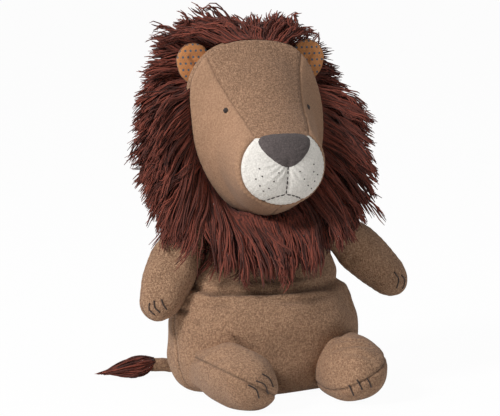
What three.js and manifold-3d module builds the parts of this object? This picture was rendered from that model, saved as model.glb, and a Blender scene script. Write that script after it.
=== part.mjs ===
// Seated plush lion: heather brown cloth over fibre filling, with a cotton fringe mane.
// Millimetres, +Z up. The lion looks along -Y, +X is its left side, and the origin is
// on the floor in the middle of its seat.
import * as THREE from "three";
import { ConvexGeometry } from "three/addons/geometries/ConvexGeometry.js";
import { mergeVertices } from "three/addons/utils/BufferGeometryUtils.js";
import Module from "manifold-3d";

const wasm = await Module();
wasm.setup();

// Cloth and fits
const cloth = 1.8; // cover cloth with its seam allowance and fusing
const gap = 0.3; // between pieces that touch
const swivelGap = 0.3; // between a rounded root and its seat
const swingGap = 0.5; // between a limb and the torso beside its seat
const fillingGap = 0.8; // between the cover and its filling
const fill = cloth + fillingGap; // from the outside to the filling
const ballSides = 14;
const ballRings = 8;
const rootSteps = 3; // rings from a limb's root pole to its widest
const restFlat = 0.5; // how far a soft form is pressed flat by the floor
const overrun = 400; // reach of every cutting block

// Torso
const torso = {
  height: 152,
  width: 160,
  depth: 126,
  sides: 20,
  seamY: -9, // side seams, just in front of the origin
  armsAboveShare: 0.36, // of the height, where the hips are below the arms' reach
  shoulderDrop: 14, // of the shoulders below the top
  waistShare: 0.5,
  shares: [
    [0.003, 0.55, 0.55, 0],
    [0.04, 0.84, 0.82, 0],
    [0.11, 0.94, 0.93, -0.005],
    [0.225, 1, 0.99, -0.01],
    [0.39, 1, 1, -0.02],
    [0.5, 0.94, 0.94, -0.014],
    [0.565, 0.87, 0.85, -0.008],
    [0.605, 0.79, 0.76, 0],
    [0.66, 0.81, 0.74, 0.01],
    [0.75, 0.79, 0.7, 0.02],
    [0.84, 0.73, 0.64, 0.03],
    [0.92, 0.61, 0.55, 0.045],
    [0.975, 0.38, 0.38, 0.055],
  ],
};

// Neck
const neck = { radius: 28, y: 8, rise: 6, turn: 12, nodUp: 5, nodDown: 8 };

// Head, with heights from its middle
const head = {
  length: 124,
  width: 120,
  height: 148,
  backY: 60,
  rise: 64, // of its middle above the neck's
  sides: 24,
  crownSquare: 2.8, // a full crown is squarer than an oval, which is 2
  pearShare: 0.12, // how much wider a full crown is and narrower its chin
  faceSeamShare: 0.42, // of the length, where the first fringe row is sewn
  muzzleSeamShare: 0.887,
  shares: [
    [0.03, 0.33, 0.33, -0.015, 0],
    [0.1, 0.6, 0.6, -0.01, 0.3],
    [0.21, 0.82, 0.83, -0.005, 0.6],
    [0.33, 0.96, 0.965, 0, 1],
    [0.42, 1, 1, 0, 1],
    [0.515, 0.88, 0.915, -0.044, 0.3],
    [0.594, 0.76, 0.83, -0.074, 0.12],
    [0.657, 0.72, 0.745, -0.111, 0],
    [0.723, 0.7, 0.645, -0.145, 0],
    [0.84, 0.66, 0.5, -0.176, 0],
    [0.89, 0.6, 0.44, -0.187],
    [0.95, 0.47, 0.35, -0.19],
    [0.985, 0.27, 0.21, -0.19],
  ],
  tipShare: -0.19,
};
const gusset = { noseHalf: 23, crownHalf: 50, low: -7, crown: 66 };
const nose = { halfWidth: 23, top: 3, corner: -3, tip: -25, cornerDrop: 6, tipHalf: 3 };
const eye = { width: 4.2, height: 5, thick: 1.2, x: 37.5, rise: 19, sides: 12 };
const mouth = { top: -26, low: -50, reach: 17, drop: 4, thick: 1.2 };

// Ears
const ear = {
  width: 32,
  height: 39,
  depth: 8,
  x: 43,
  y: 24,
  rise: 34,
  parting: 34, // room that the fringe leaves in front of an ear
  lean: 0.42,
  back: 0.04,
  sides: 14,
  shares: [
    [0.04, 0.4, 0.5, 0],
    [0.2, 0.75, 0.9, 0],
    [0.5, 1, 1, 0],
    [0.76, 0.9, 0.9, 0],
    [0.92, 0.58, 0.6, 0],
  ],
};

// Arms
const arm = {
  root: 17,
  length: 87,
  width: 42.5,
  depth: 33,
  sides: 14,
  shoulder: { x: 64, y: 2 },
  swing: 30,
  shares: [
    [0.16, 0.88, 1.06, 0],
    [0.38, 1, 1.02, 0],
    [0.6, 0.98, 0.98, 0],
    [0.79, 0.85, 0.86, 0],
    [0.92, 0.6, 0.62, 0],
    [0.98, 0.32, 0.34, 0],
  ],
};
const armReach = { right: { x: -41, y: -19, z: -69 }, left: { x: 68, y: -3, z: -61 } };

// Legs
const leg = {
  root: 22,
  length: 94,
  width: 59,
  depth: 51,
  sides: 16,
  hip: { x: 50, y: -22, z: 25.5 },
  roll: 28,
  lower: 40,
  shares: [
    [0.2, 0.86, 0.92, 0],
    [0.42, 1, 1, 0],
    [0.65, 0.97, 0.96, 0],
    [0.83, 0.83, 0.82, 0],
    [0.94, 0.58, 0.57, 0],
    [0.985, 0.3, 0.3, 0],
  ],
};
const legReach = { right: { x: 2, y: -99, z: -3 }, left: { x: -6, y: -100, z: -3 } };

// Tail
const tail = {
  radius: 6,
  root: 8,
  y: 57,
  z: 15,
  reachX: -72,
  reachY: 80,
  bendX: -20,
  bendY: 77,
  lieZ: 8,
  sides: 10,
  steps: 10,
};
const tuft = {
  length: 50,
  width: 17,
  sides: 14,
  shares: [
    [0.02, 0.62, 0.62, 0],
    [0.18, 0.85, 0.85, 0],
    [0.45, 1, 1, 0],
    [0.75, 0.9, 0.9, 0],
    [0.95, 0.5, 0.5, 0],
  ],
};

// Mane: fringe rows round the head, each from its sewn edge to the yarn tips
const mane = {
  reach: 120.5, // from the head's middle line to the longest tips, under the chin
  nape: 94, // to the tips of the back rows there
  // Tips all round the head, from its left side over the crown
  reachShares: [
    0.83, 0.815, 0.8, 0.81, 0.755, 0.775, 0.745, 0.7, 0.765, 0.815, 0.865, 0.88, 0.85, 0.84,
    0.84, 0.83, 0.875, 0.94, 0.99, 1, 1, 0.985, 0.965, 0.94, 0.93, 0.93, 0.905, 0.835,
  ],
  bendShare: 0.38, // from root to tip, where a row starts to bend
  lateShare: 0.72,
  crownLean: 36, // how far the first tips lie back at the top
  crownStep: 4, // how much less for each row behind
  bibBend: -46, // the row under the chin, at its bend and beyond
  bibLate: -62,
  bibFront: -63,
  rootStep: 13, // between sewn edges, from the face seam back
  tipFront: -8, // the first row's tips at the sides
  tipStep: 21.3,
  rows: [
    { bibShare: 1, reachShare: 0.94, rootShare: 0.93 },
    { bibShare: 0.55, reachShare: 1, rootShare: 0.9 },
    { bibShare: 0.2, reachShare: 0.98, rootShare: 0.78 },
    { bibShare: 0, reachShare: 0.88, rootShare: 0.58 },
  ],
  armClearance: 3,
  backY: 77,
  // Behind the last tips, how far in and how far back the fringe lies
  backShares: [
    [0.78, 0.68],
    [0.4, 0.96],
  ],
};

const finishes = {
  brown: { color: 0x8d6f54, roughness: 0.95, metalness: 0 },
  orange: { color: 0xc98850, roughness: 0.9, metalness: 0 },
  linen: { color: 0xdcd8d2, roughness: 0.95, metalness: 0 },
  grey: { color: 0x55504f, roughness: 0.9, metalness: 0 },
  thread: { color: 0x2c2220, roughness: 0.8, metalness: 0 },
  fringe: { color: 0x5f332a, roughness: 1, metalness: 0 },
  filling: { color: 0xefece6, roughness: 1, metalness: 0 },
};

// Solids

const radians = THREE.MathUtils.degToRad;

function solid(geometry) {
  const bare = geometry.clone();
  bare.deleteAttribute("normal");
  bare.deleteAttribute("uv");
  const merged = mergeVertices(bare);
  return new wasm.Manifold(
    new wasm.Mesh({
      numProp: 3,
      vertProperties: new Float32Array(merged.attributes.position.array),
      triVerts: new Uint32Array(merged.index.array),
    }),
  );
}

function geometryOf(shape) {
  const mesh = shape.getMesh();
  const geometry = new THREE.BufferGeometry();
  geometry.setAttribute("position", new THREE.BufferAttribute(new Float32Array(mesh.vertProperties), 3));
  geometry.setIndex(new THREE.BufferAttribute(new Uint32Array(mesh.triVerts), 1));
  return geometry;
}

// Rings of a form, from shares of its length, width and depth. The last share says how
// full its crown is, from 0 for an oval to 1.
function ringsOf({ length, width, depth, shares }) {
  return shares.map(([along, across, through, drift, full = 0]) => ({
    z: along * length,
    a: (across * width) / 2,
    b: (through * depth) / 2,
    y: drift * depth,
    full,
  }));
}

// Rings of the rounded root that a limb turns on.
function rootRings(radius, count) {
  const rings = [];
  for (let i = 1; i <= count; i++) {
    const angle = (i / count) * (Math.PI / 2);
    const r = radius * Math.sin(angle);
    rings.push({ z: -radius * Math.cos(angle), a: r, b: r, y: 0 });
  }
  return rings;
}

// A point of a ring of half-width and half-depth 1, at an angle. A plain ring is an oval.
function ringPoint(angle, { square = 2, pear = 0 }) {
  const across = Math.cos(angle);
  const up = Math.sin(angle);
  if (up <= 0) {
    return { x: across * (1 + pear * up), y: up };
  }
  const y = up ** (2 / square);
  return { x: Math.sign(across) * Math.abs(across) ** (2 / square) * (1 + pear * y), y };
}

// A closed form: oval rings along +Z with a point at each end, grown by `grow` all round.
function ovalForm(rings, start, end, sides, grow) {
  const middle = (start.z + end.z) / 2;
  const half = (end.z - start.z) / 2;
  const stretch = (z) => middle + ((z - middle) * (half + grow)) / half;
  const points = [0, start.y, stretch(start.z)];
  for (const ring of rings) {
    for (let s = 0; s < sides; s++) {
      const { x, y } = ringPoint((s / sides) * 2 * Math.PI, ring);
      points.push((ring.a + grow) * x, ring.y + (ring.b + grow) * y, stretch(ring.z));
    }
  }
  points.push(0, end.y, stretch(end.z));
  const last = 1 + rings.length * sides;
  const index = [];
  for (let s = 0; s < sides; s++) {
    const next = (s + 1) % sides;
    index.push(0, 1 + next, 1 + s);
    for (let r = 0; r < rings.length - 1; r++) {
      const low = 1 + r * sides;
      const high = low + sides;
      index.push(low + s, low + next, high + next, low + s, high + next, high + s);
    }
    const top = last - sides;
    index.push(top + s, top + next, last);
  }
  const geometry = new THREE.BufferGeometry();
  geometry.setAttribute("position", new THREE.Float32BufferAttribute(points, 3));
  geometry.setIndex(index);
  return geometry;
}

// Turns a form's +Z to `along` and its +X towards `across`, and moves it to `at`.
function placed(geometry, at, along, across) {
  const z = along.clone().normalize();
  const x = across.clone().addScaledVector(z, -across.dot(z)).normalize();
  const y = z.clone().cross(x);
  const matrix = new THREE.Matrix4().makeBasis(x, y, z).setPosition(at);
  return geometry.applyMatrix4(matrix);
}

// The space where x, y or z is past a limit: sign 1 keeps above it, -1 below it.
function halfSpace(axis, limit, sign) {
  const block = new THREE.BoxGeometry(2 * overrun, 2 * overrun, 2 * overrun);
  const shift = { x: 0, y: 0, z: 0 };
  shift[axis] = limit + sign * overrun;
  return solid(block.translate(shift.x, shift.y, shift.z));
}

function ball(centre, radius) {
  const shape = new THREE.SphereGeometry(radius, ballSides, ballRings);
  return solid(shape.translate(centre.x, centre.y, centre.z));
}

// A ball whose faces lie outside the sphere, for the seat of a round root.
function ballRound(centre, radius, sides = ballSides, rings = ballRings) {
  const reach = radius / (Math.cos(Math.PI / sides) * Math.cos(Math.PI / (2 * rings)));
  const shape = new THREE.SphereGeometry(reach, sides, rings);
  return solid(shape.translate(centre.x, centre.y, centre.z));
}

function coarseBallRound(centre, radius) {
  return ballRound(centre, radius, ballSides / 2 + 1, ballRings / 2);
}

// A prism along Y from points [x, z].
function prismAlongY(points) {
  const outline = new THREE.Shape(points.map(([x, z]) => new THREE.Vector2(x, z)));
  const shape = new THREE.ExtrudeGeometry(outline, { depth: 2 * overrun, bevelEnabled: false });
  return solid(shape.rotateX(Math.PI / 2).translate(0, overrun, 0));
}

// A prism along X from points [y, z], from x = low to x = high.
function prismAlongX(points, low, high) {
  const outline = new THREE.Shape(points.map(([y, z]) => new THREE.Vector2(y, z)));
  const shape = new THREE.ExtrudeGeometry(outline, { depth: high - low, bevelEnabled: false });
  return solid(shape.rotateX(Math.PI / 2).rotateZ(Math.PI / 2).translate(low, 0, 0));
}

function pointsOf(shape) {
  const { array } = geometryOf(shape).attributes.position;
  const points = [];
  for (let i = 0; i < array.length; i += 3) {
    points.push(new THREE.Vector3(array[i], array[i + 1], array[i + 2]));
  }
  return points;
}

function turnAbout(point, pivot, axis, degrees) {
  return point.clone().sub(pivot).applyAxisAngle(axis, radians(degrees)).add(pivot);
}

function together(shapes) {
  return shapes.reduce((whole, shape) => whole.add(shape));
}

const xAxis = new THREE.Vector3(1, 0, 0);
const yAxis = new THREE.Vector3(0, 1, 0);
const zAxis = new THREE.Vector3(0, 0, 1);

const lion = new THREE.Group();

function addPiece(name, shape, finish) {
  const material = new THREE.MeshStandardMaterial(finish);
  const mesh = new THREE.Mesh(geometryOf(shape), material);
  mesh.name = name;
  lion.add(mesh);
}

// Limb and head places

const sidesOf = { right: -1, left: 1 };
const neckAt = new THREE.Vector3(0, neck.y, torso.height + neck.rise);
const headZ = neckAt.z + head.rise;
const faceSeamY = head.backY - head.faceSeamShare * head.length;
const muzzleSeamY = head.backY - head.muzzleSeamShare * head.length;

function shoulderAt(side) {
  const height = torso.height - torso.shoulderDrop;
  return new THREE.Vector3(sidesOf[side] * arm.shoulder.x, arm.shoulder.y, height);
}

function hipAt(side) {
  return new THREE.Vector3(sidesOf[side] * leg.hip.x, leg.hip.y, leg.hip.z);
}

const tailAt = new THREE.Vector3(0, tail.y, tail.z);

// Torso

// The room under the front of the torso that a leg swings down through.
function legRoom(side, grow) {
  const { y, z } = leg.hip;
  const lean = radians(leg.lower);
  const backY = y + (leg.root + grow) * Math.sin(lean);
  const backZ = z - (leg.root + grow) * Math.cos(lean);
  const wedge = [
    [y - overrun / 2, z + grow],
    [y, z + grow],
    [backY, backZ],
    [backY + (backZ + restFlat) * Math.tan(lean / 2), -leg.root],
    [y - overrun / 2, -leg.root],
  ];
  const inner = leg.hip.x - leg.width / 2 - grow;
  const outer = leg.hip.x + leg.width;
  return side === "right" ? prismAlongX(wedge, -outer, -inner) : prismAlongX(wedge, inner, outer);
}

function torsoForm(grow, sides = torso.sides) {
  const rings = ringsOf({ ...torso, length: torso.height });
  const top = torso.shares[torso.shares.length - 1][3] * torso.depth;
  const shape = ovalForm(rings, { z: 0, y: 0 }, { z: torso.height, y: top }, sides, grow);
  return solid(shape.translate(0, 0, -restFlat));
}

// The torso with its seats for neck, limbs and tail, `grow` bigger all round.
function torsoSeated(grow, seatGap, sides, seat) {
  const seats = [seat(neckAt, neck.radius + seatGap)];
  for (const side of ["right", "left"]) {
    seats.push(seat(shoulderAt(side), arm.root + seatGap));
    seats.push(seat(hipAt(side), leg.root + seatGap));
    seats.push(legRoom(side, seatGap + swingGap));
  }
  seats.push(seat(tailAt, tail.root + seatGap));
  return torsoForm(grow, sides).subtract(together(seats));
}

const torsoOuter = torsoSeated(0, swivelGap, torso.sides, ballRound).intersect(halfSpace("z", 0, 1));
const torsoHollow = torsoSeated(-cloth, swivelGap + cloth, torso.sides / 2, ballRound);
const torsoInner = torsoHollow.intersect(halfSpace("z", cloth, 1));
const torsoShell = torsoOuter.subtract(torsoInner);
const torsoFilling = torsoSeated(-fill, swivelGap + fill + fillingGap, torso.sides / 2, coarseBallRound);

addPiece("torso_front_panel", torsoShell.intersect(halfSpace("y", torso.seamY - gap, -1)), finishes.brown);
addPiece("torso_back_panel", torsoShell.intersect(halfSpace("y", torso.seamY, 1)), finishes.brown);
addPiece("torso_stuffing", torsoFilling.intersect(halfSpace("z", fill, 1)), finishes.filling);

// A limb's form, less what it keeps clear of.
function limbForm(limb, at, reach, across, sides, grow, keepOut) {
  const rings = [...rootRings(limb.root, rootSteps), ...ringsOf(limb)];
  const form = ovalForm(rings, { z: -limb.root, y: 0 }, { z: limb.length, y: 0 }, sides, grow);
  return solid(placed(form, at, reach, across)).subtract(keepOut);
}

// The three solids of a limb: outside, inside of the cloth, and filling. What it keeps
// clear of, keepOut(grow), is the torso round its own seat.
function limbSolids(limb, at, reach, across, keepOut) {
  const { sides } = limb;
  return {
    outer: limbForm(limb, at, reach, across, sides, 0, keepOut(0)),
    inner: limbForm(limb, at, reach, across, sides / 2, -cloth, keepOut(cloth)),
    filling: limbForm(limb, at, reach, across, sides / 2, -fill, keepOut(fill)),
  };
}

function aboveFloor(shape, height) {
  return shape.intersect(halfSpace("z", height, 1));
}

// The block on one side of a limb's seam, which holds its axis and its width.
function seamBlock(at, reach, across, sign) {
  const block = new THREE.BoxGeometry(2 * overrun, 2 * overrun, 2 * overrun);
  block.translate(0, sign * (overrun + gap / 2), 0);
  return solid(placed(block, at, reach, across));
}

function vector({ x, y, z }) {
  return new THREE.Vector3(x, y, z);
}

// Arms

const armAngles = [-arm.swing, -arm.swing / 2, 0, arm.swing / 2, arm.swing];

// The torso above its hips, as an arm meets it through its swing.
function torsoPast(at, grow) {
  const points = pointsOf(torsoForm(grow)).filter(({ z }) => z > torso.armsAboveShare * torso.height);
  const met = points.flatMap((point) => armAngles.map((degrees) => turnAbout(point, at, xAxis, -degrees)));
  return solid(new ConvexGeometry(met));
}

const armOuter = {};
for (const side of ["right", "left"]) {
  const at = shoulderAt(side);
  const reach = vector(armReach[side]);
  const across = new THREE.Vector3(sidesOf[side], 0, 0);
  const keepOut = (grow) =>
    torsoForm(swingGap + grow)
      .add(torsoPast(at, swingGap + grow))
      .subtract(ball(at, arm.root + swivelGap / 2 - grow));
  const { outer, inner, filling } = limbSolids(arm, at, reach, across, keepOut);
  const shell = outer.subtract(inner);
  armOuter[side] = outer;
  // Local +Y of the seam block points back on the right arm and forward on the left one.
  const back = side === "right" ? -1 : 1;
  addPiece(`${side}_arm_front_panel`, shell.intersect(seamBlock(at, reach, across, -back)), finishes.brown);
  addPiece(`${side}_arm_back_panel`, shell.intersect(seamBlock(at, reach, across, back)), finishes.brown);
  addPiece(`${side}_arm_stuffing`, filling, finishes.filling);
}

// Legs

for (const side of ["right", "left"]) {
  const at = hipAt(side);
  const reach = vector(legReach[side]);
  const roll = sidesOf[side] * radians(leg.roll);
  const across = new THREE.Vector3(Math.cos(roll), 0, Math.sin(roll));
  const keepOut = (grow) =>
    torsoForm(swingGap + grow)
      .subtract(ball(at, leg.root + swivelGap / 2 - grow))
      .subtract(legRoom(side, gap - grow));
  const { outer, inner, filling } = limbSolids(leg, at, reach, across, keepOut);
  const shell = aboveFloor(outer, 0).subtract(aboveFloor(inner, cloth));
  addPiece(`${side}_leg_upper_panel`, shell.intersect(seamBlock(at, reach, across, 1)), finishes.brown);
  addPiece(`${side}_leg_sole_panel`, shell.intersect(seamBlock(at, reach, across, -1)), finishes.brown);
  addPiece(`${side}_leg_stuffing`, aboveFloor(filling, fill), finishes.filling);
}

// Neck and head

// Turned half a step, so that its corners meet the middles of the seat's faces.
const neckBall = new THREE.SphereGeometry(neck.radius, ballSides, ballRings).rotateY(Math.PI / ballSides);
addPiece("neck_stuffing", solid(neckBall.translate(neckAt.x, neckAt.y, neckAt.z)), finishes.filling);

function headForm(grow, sides = head.sides) {
  const rings = ringsOf({ ...head, depth: head.height }).map((ring) => ({
    ...ring,
    square: 2 + (head.crownSquare - 2) * ring.full,
    pear: head.pearShare * ring.full,
  }));
  const start = { z: 0, y: head.shares[0][3] * head.height };
  const end = { z: head.length, y: head.tipShare * head.height };
  const form = ovalForm(rings, start, end, sides, grow);
  const at = new THREE.Vector3(0, head.backY, headZ);
  return solid(placed(form, at, yAxis.clone().negate(), xAxis));
}

// The head with its seat for the neck, `grow` bigger all round.
function headSeated(grow, seatGap, sides, seat) {
  return headForm(grow, sides).subtract(seat(neckAt, neck.radius + seatGap));
}

const headInner = headSeated(-cloth, swivelGap + cloth, head.sides / 2, ballRound);
const headShell = headSeated(0, swivelGap, head.sides, ballRound).subtract(headInner);
const headFilling = headSeated(-fill, swivelGap + fill + fillingGap, head.sides / 2, coarseBallRound);
const face = headShell
  .intersect(halfSpace("y", faceSeamY - gap, -1))
  .intersect(halfSpace("y", muzzleSeamY, 1));
const snout = headShell.intersect(halfSpace("y", muzzleSeamY - gap, -1));

function gussetPrism(grow) {
  const { noseHalf, crownHalf } = gusset;
  const lowZ = headZ + gusset.low;
  const crownZ = headZ + gusset.crown;
  return prismAlongY([
    [-noseHalf - grow, lowZ - grow],
    [noseHalf + grow, lowZ - grow],
    [crownHalf + grow, crownZ],
    [crownHalf + grow, crownZ + head.height],
    [-crownHalf - grow, crownZ + head.height],
    [-crownHalf - grow, crownZ],
  ]);
}

function nosePrism(grow) {
  const { halfWidth, cornerDrop, tipHalf } = nose;
  const topZ = headZ + nose.top;
  const cornerZ = headZ + nose.corner;
  const tipZ = headZ + nose.tip;
  return prismAlongY([
    [-tipHalf - grow, tipZ - grow],
    [tipHalf + grow, tipZ - grow],
    [halfWidth + grow, cornerZ - cornerDrop],
    [halfWidth + grow, cornerZ],
    [halfWidth / 2, topZ + head.height],
    [-halfWidth / 2, topZ + head.height],
    [-halfWidth - grow, cornerZ],
    [-halfWidth - grow, cornerZ - cornerDrop],
  ]);
}

const cheeks = face.subtract(gussetPrism(gap));
addPiece("head_centre_gusset", face.intersect(gussetPrism(0)), finishes.brown);
addPiece("head_right_cheek", cheeks.intersect(halfSpace("x", -gap / 2, -1)), finishes.brown);
addPiece("head_left_cheek", cheeks.intersect(halfSpace("x", gap / 2, 1)), finishes.brown);
addPiece("head_back_panel", headShell.intersect(halfSpace("y", faceSeamY, 1)), finishes.brown);
addPiece("muzzle_panel", snout.subtract(nosePrism(gap)), finishes.linen);
addPiece("nose_panel", snout.intersect(nosePrism(0)), finishes.grey);
addPiece("head_stuffing", headFilling, finishes.filling);

// Thread work lies on the cloth, so it is a slice of the head form grown by its thickness.
function threadSlice(outline, thick) {
  return headForm(gap + thick)
    .subtract(headForm(gap))
    .intersect(prismAlongY(outline))
    .intersect(halfSpace("y", 0, -1));
}

function ovalOutline(x, z, width, height, count) {
  const points = [];
  for (let i = 0; i < count; i++) {
    const angle = (i / count) * 2 * Math.PI;
    points.push([x + (width / 2) * Math.cos(angle), z + (height / 2) * Math.sin(angle)]);
  }
  return points;
}

for (const side of ["right", "left"]) {
  const outline = ovalOutline(sidesOf[side] * eye.x, headZ + eye.rise, eye.width, eye.height, eye.sides);
  addPiece(`${side}_eye`, threadSlice(outline, eye.thick), finishes.thread);
}

const { reach: mouthReach, drop, thick } = mouth;
const topZ = headZ + mouth.top;
const lowZ = headZ + mouth.low;
const mouthLine = [
  [-thick / 2, topZ],
  [-thick / 2, lowZ],
  [-mouthReach / 2, lowZ - thick],
  [-mouthReach, lowZ - drop],
  [-mouthReach, lowZ - drop - thick],
  [-mouthReach / 2, lowZ - 2 * thick],
  [0, lowZ - thick],
  [mouthReach / 2, lowZ - 2 * thick],
  [mouthReach, lowZ - drop - thick],
  [mouthReach, lowZ - drop],
  [mouthReach / 2, lowZ - thick],
  [thick / 2, lowZ],
  [thick / 2, topZ],
];
addPiece("mouth_stitch", threadSlice(mouthLine, thick), finishes.thread);

// Ears

function earAt(side) {
  return new THREE.Vector3(sidesOf[side] * ear.x, ear.y, headZ + ear.rise);
}

function earForm(side, grow) {
  const form = ovalForm(
    ringsOf({ ...ear, length: ear.height }),
    { z: 0, y: 0 },
    { z: ear.height, y: 0 },
    ear.sides,
    grow,
  );
  const at = earAt(side);
  const along = new THREE.Vector3(sidesOf[side] * ear.lean, ear.back, 1);
  return solid(placed(form, at, along, xAxis));
}

function earSeam(side, sign) {
  const at = earAt(side);
  const along = new THREE.Vector3(sidesOf[side] * ear.lean, ear.back, 1);
  return seamBlock(at, along, xAxis, sign);
}

for (const side of ["right", "left"]) {
  const whole = earForm(side, 0).subtract(headForm(gap));
  addPiece(`${side}_ear_lining`, whole.intersect(earSeam(side, -1)), finishes.orange);
  addPiece(`${side}_ear_back`, whole.intersect(earSeam(side, 1)), finishes.brown);
}

// An ear with the room in front of it, where the fringe is parted.
function earRoom(side) {
  const points = pointsOf(earForm(side, gap));
  const front = points.map((point) => point.clone().setY(point.y - ear.parting));
  return solid(new ConvexGeometry([...points, ...front]));
}

// Mane

// How far the yarn tips reach from the head's middle line at an angle, 0 at its left side.
function tipReach(angle, row) {
  const sides = mane.reachShares.length;
  const share = mane.reachShares[Math.round((angle / (2 * Math.PI)) * sides) % sides];
  const hang = Math.max(0, -Math.sin(angle)) ** 2;
  const low = mane.nape + (mane.reach - mane.nape) * row.bibShare;
  return share * (mane.reach * row.reachShare * (1 - hang) + low * hang);
}

// The face between two rows at an angle: its root, its two bends and its tip.
function rowEdge(angle, row) {
  const order = mane.rows.indexOf(row);
  const up = Math.max(0, Math.sin(angle));
  const down = Math.max(0, -Math.sin(angle)) ** 2 * row.bibShare;
  const headR = 0.5 / Math.hypot(Math.cos(angle) / head.width, Math.sin(angle) / head.height);
  const lean = (mane.crownLean - order * mane.crownStep) * up;
  const root = { r: row.rootShare * headR, y: faceSeamY + order * mane.rootStep };
  const tip = { r: tipReach(angle, row), y: mane.tipFront + order * mane.tipStep + lean };
  const pointAt = (share, bibY) => {
    const y = root.y + (tip.y - root.y) * share;
    return { r: root.r + (tip.r - root.r) * share, y: y + (bibY - y) * down };
  };
  return [
    root,
    pointAt(mane.bendShare, mane.bibBend),
    pointAt(mane.lateShare, mane.bibLate),
    pointAt(1, mane.bibFront),
  ];
}

// A closed ring of profiles round the head's middle line.
function ringForm(profileAt) {
  const points = [];
  const sides = mane.reachShares.length;
  const count = profileAt(0).length;
  for (let s = 0; s < sides; s++) {
    const angle = (s / sides) * 2 * Math.PI;
    for (const { r, y } of profileAt(angle)) {
      points.push(r * Math.cos(angle), y, headZ + r * Math.sin(angle));
    }
  }
  const index = [];
  for (let s = 0; s < sides; s++) {
    const here = s * count;
    const next = ((s + 1) % sides) * count;
    for (let p = 0; p < count; p++) {
      const q = (p + 1) % count;
      // Both faces of a row split from root to tip, so that it fits the rows beside it.
      const split = p < count / 2 ? [here + p, next + q] : [next + p, here + q];
      index.push(here + p, split[1], next + p, split[0], here + q, next + q);
    }
  }
  const geometry = new THREE.BufferGeometry();
  geometry.setAttribute("position", new THREE.Float32BufferAttribute(points, 3));
  geometry.setIndex(index);
  return solid(geometry);
}

// One row of fringe, between its own sewn edge and the next row's.
function fringeRow(row, next) {
  return ringForm((angle) => {
    const back = rowEdge(angle, next).map(({ r, y }) => ({ r, y: y - gap }));
    return [...rowEdge(angle, row), ...back.reverse()];
  });
}

// The last rows, which close over the back of the head.
function fringeBack(row) {
  return ringForm((angle) => {
    const front = rowEdge(angle, row);
    const tip = front[front.length - 1];
    const back = mane.backShares.map(([reachShare, depthShare]) => {
      return { r: tip.r * reachShare, y: tip.y + (mane.backY - tip.y) * depthShare };
    });
    return [...front, ...back, { r: gap, y: mane.backY }, { r: gap, y: front[0].y }];
  });
}

// Every place that the head takes, as turns about the neck.
const headPoses = [];
for (const turn of [-neck.turn, 0, neck.turn]) {
  for (const nod of [-neck.nodUp, 0, neck.nodDown]) {
    headPoses.push([
      { axis: zAxis, degrees: turn },
      { axis: xAxis, degrees: nod },
    ]);
  }
}

// The hull of the room that points take as the head sees them, in all its places.
function roomForHead(points) {
  const seen = points.flatMap((point) =>
    headPoses.map(([turn, nod]) => {
      const unturned = turnAbout(point, neckAt, turn.axis, -turn.degrees);
      return turnAbout(unturned, neckAt, nod.axis, -nod.degrees);
    }),
  );
  return solid(new ConvexGeometry(seen));
}

function armRoom(side) {
  const at = shoulderAt(side);
  const rings = [...rootRings(arm.root, 2), ...ringsOf(arm).filter((ring, i) => i % 2 === 0)];
  const start = { z: -arm.root, y: 0 };
  const end = { z: arm.length, y: 0 };
  const grown = ovalForm(rings, start, end, arm.sides / 2, mane.armClearance);
  const points = pointsOf(solid(placed(grown, at, vector(armReach[side]), xAxis)));
  const swung = points.flatMap((point) => armAngles.map((degrees) => turnAbout(point, at, xAxis, degrees)));
  return roomForHead(swung);
}

const chest = pointsOf(torsoForm(swingGap)).filter(({ z }) => z > torso.waistShare * torso.height);
const manePieces = {
  mane_face_row: fringeRow(mane.rows[0], mane.rows[1]),
  mane_second_row: fringeRow(mane.rows[1], mane.rows[2]),
  mane_third_row: fringeRow(mane.rows[2], mane.rows[3]),
  mane_back_rows: fringeBack(mane.rows[3]),
};
const maneKeepOut = together([
  headForm(gap),
  ballRound(neckAt, neck.radius + swivelGap),
  roomForHead(chest),
  armRoom("right"),
  armRoom("left"),
  earRoom("right"),
  earRoom("left"),
]);
for (const [name, row] of Object.entries(manePieces)) {
  addPiece(name, row.subtract(maneKeepOut), finishes.fringe);
}

// Tail

const tailPath = new THREE.CatmullRomCurve3([
  tailAt,
  new THREE.Vector3(tail.bendX, tail.bendY, (tail.z + tail.lieZ) / 2),
  new THREE.Vector3((tail.bendX + tail.reachX) / 2, tail.reachY, tail.lieZ),
  new THREE.Vector3(tail.reachX, tail.reachY, tail.lieZ),
]);

function tailTube(radius, steps) {
  const outline = new THREE.Shape().absarc(0, 0, radius, 0, 2 * Math.PI);
  return solid(
    new THREE.ExtrudeGeometry(outline, {
      steps,
      curveSegments: tail.sides / 2,
      extrudePath: tailPath,
      bevelEnabled: false,
    }),
  );
}

addPiece("tail_cover", tailTube(tail.radius, tail.steps).add(ball(tailAt, tail.root)), finishes.brown);

const tuftForm = ovalForm(
  ringsOf({ ...tuft, depth: tuft.width }),
  { z: 0, y: 0 },
  { z: tuft.length, y: 0 },
  tuft.sides,
  0,
);
const tuftAt = new THREE.Vector3(tail.reachX - gap, tail.reachY, tail.lieZ + tuft.width / 2 - tail.radius);
addPiece("tail_tuft", solid(placed(tuftForm, tuftAt, xAxis.clone().negate(), yAxis)), finishes.fringe);

export default lion;
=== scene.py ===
# Seated plush lion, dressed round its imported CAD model.
import math

import bmesh
import bpy
import numpy as np
from mathutils import Matrix, Vector
from mathutils.bvhtree import BVHTree


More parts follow.
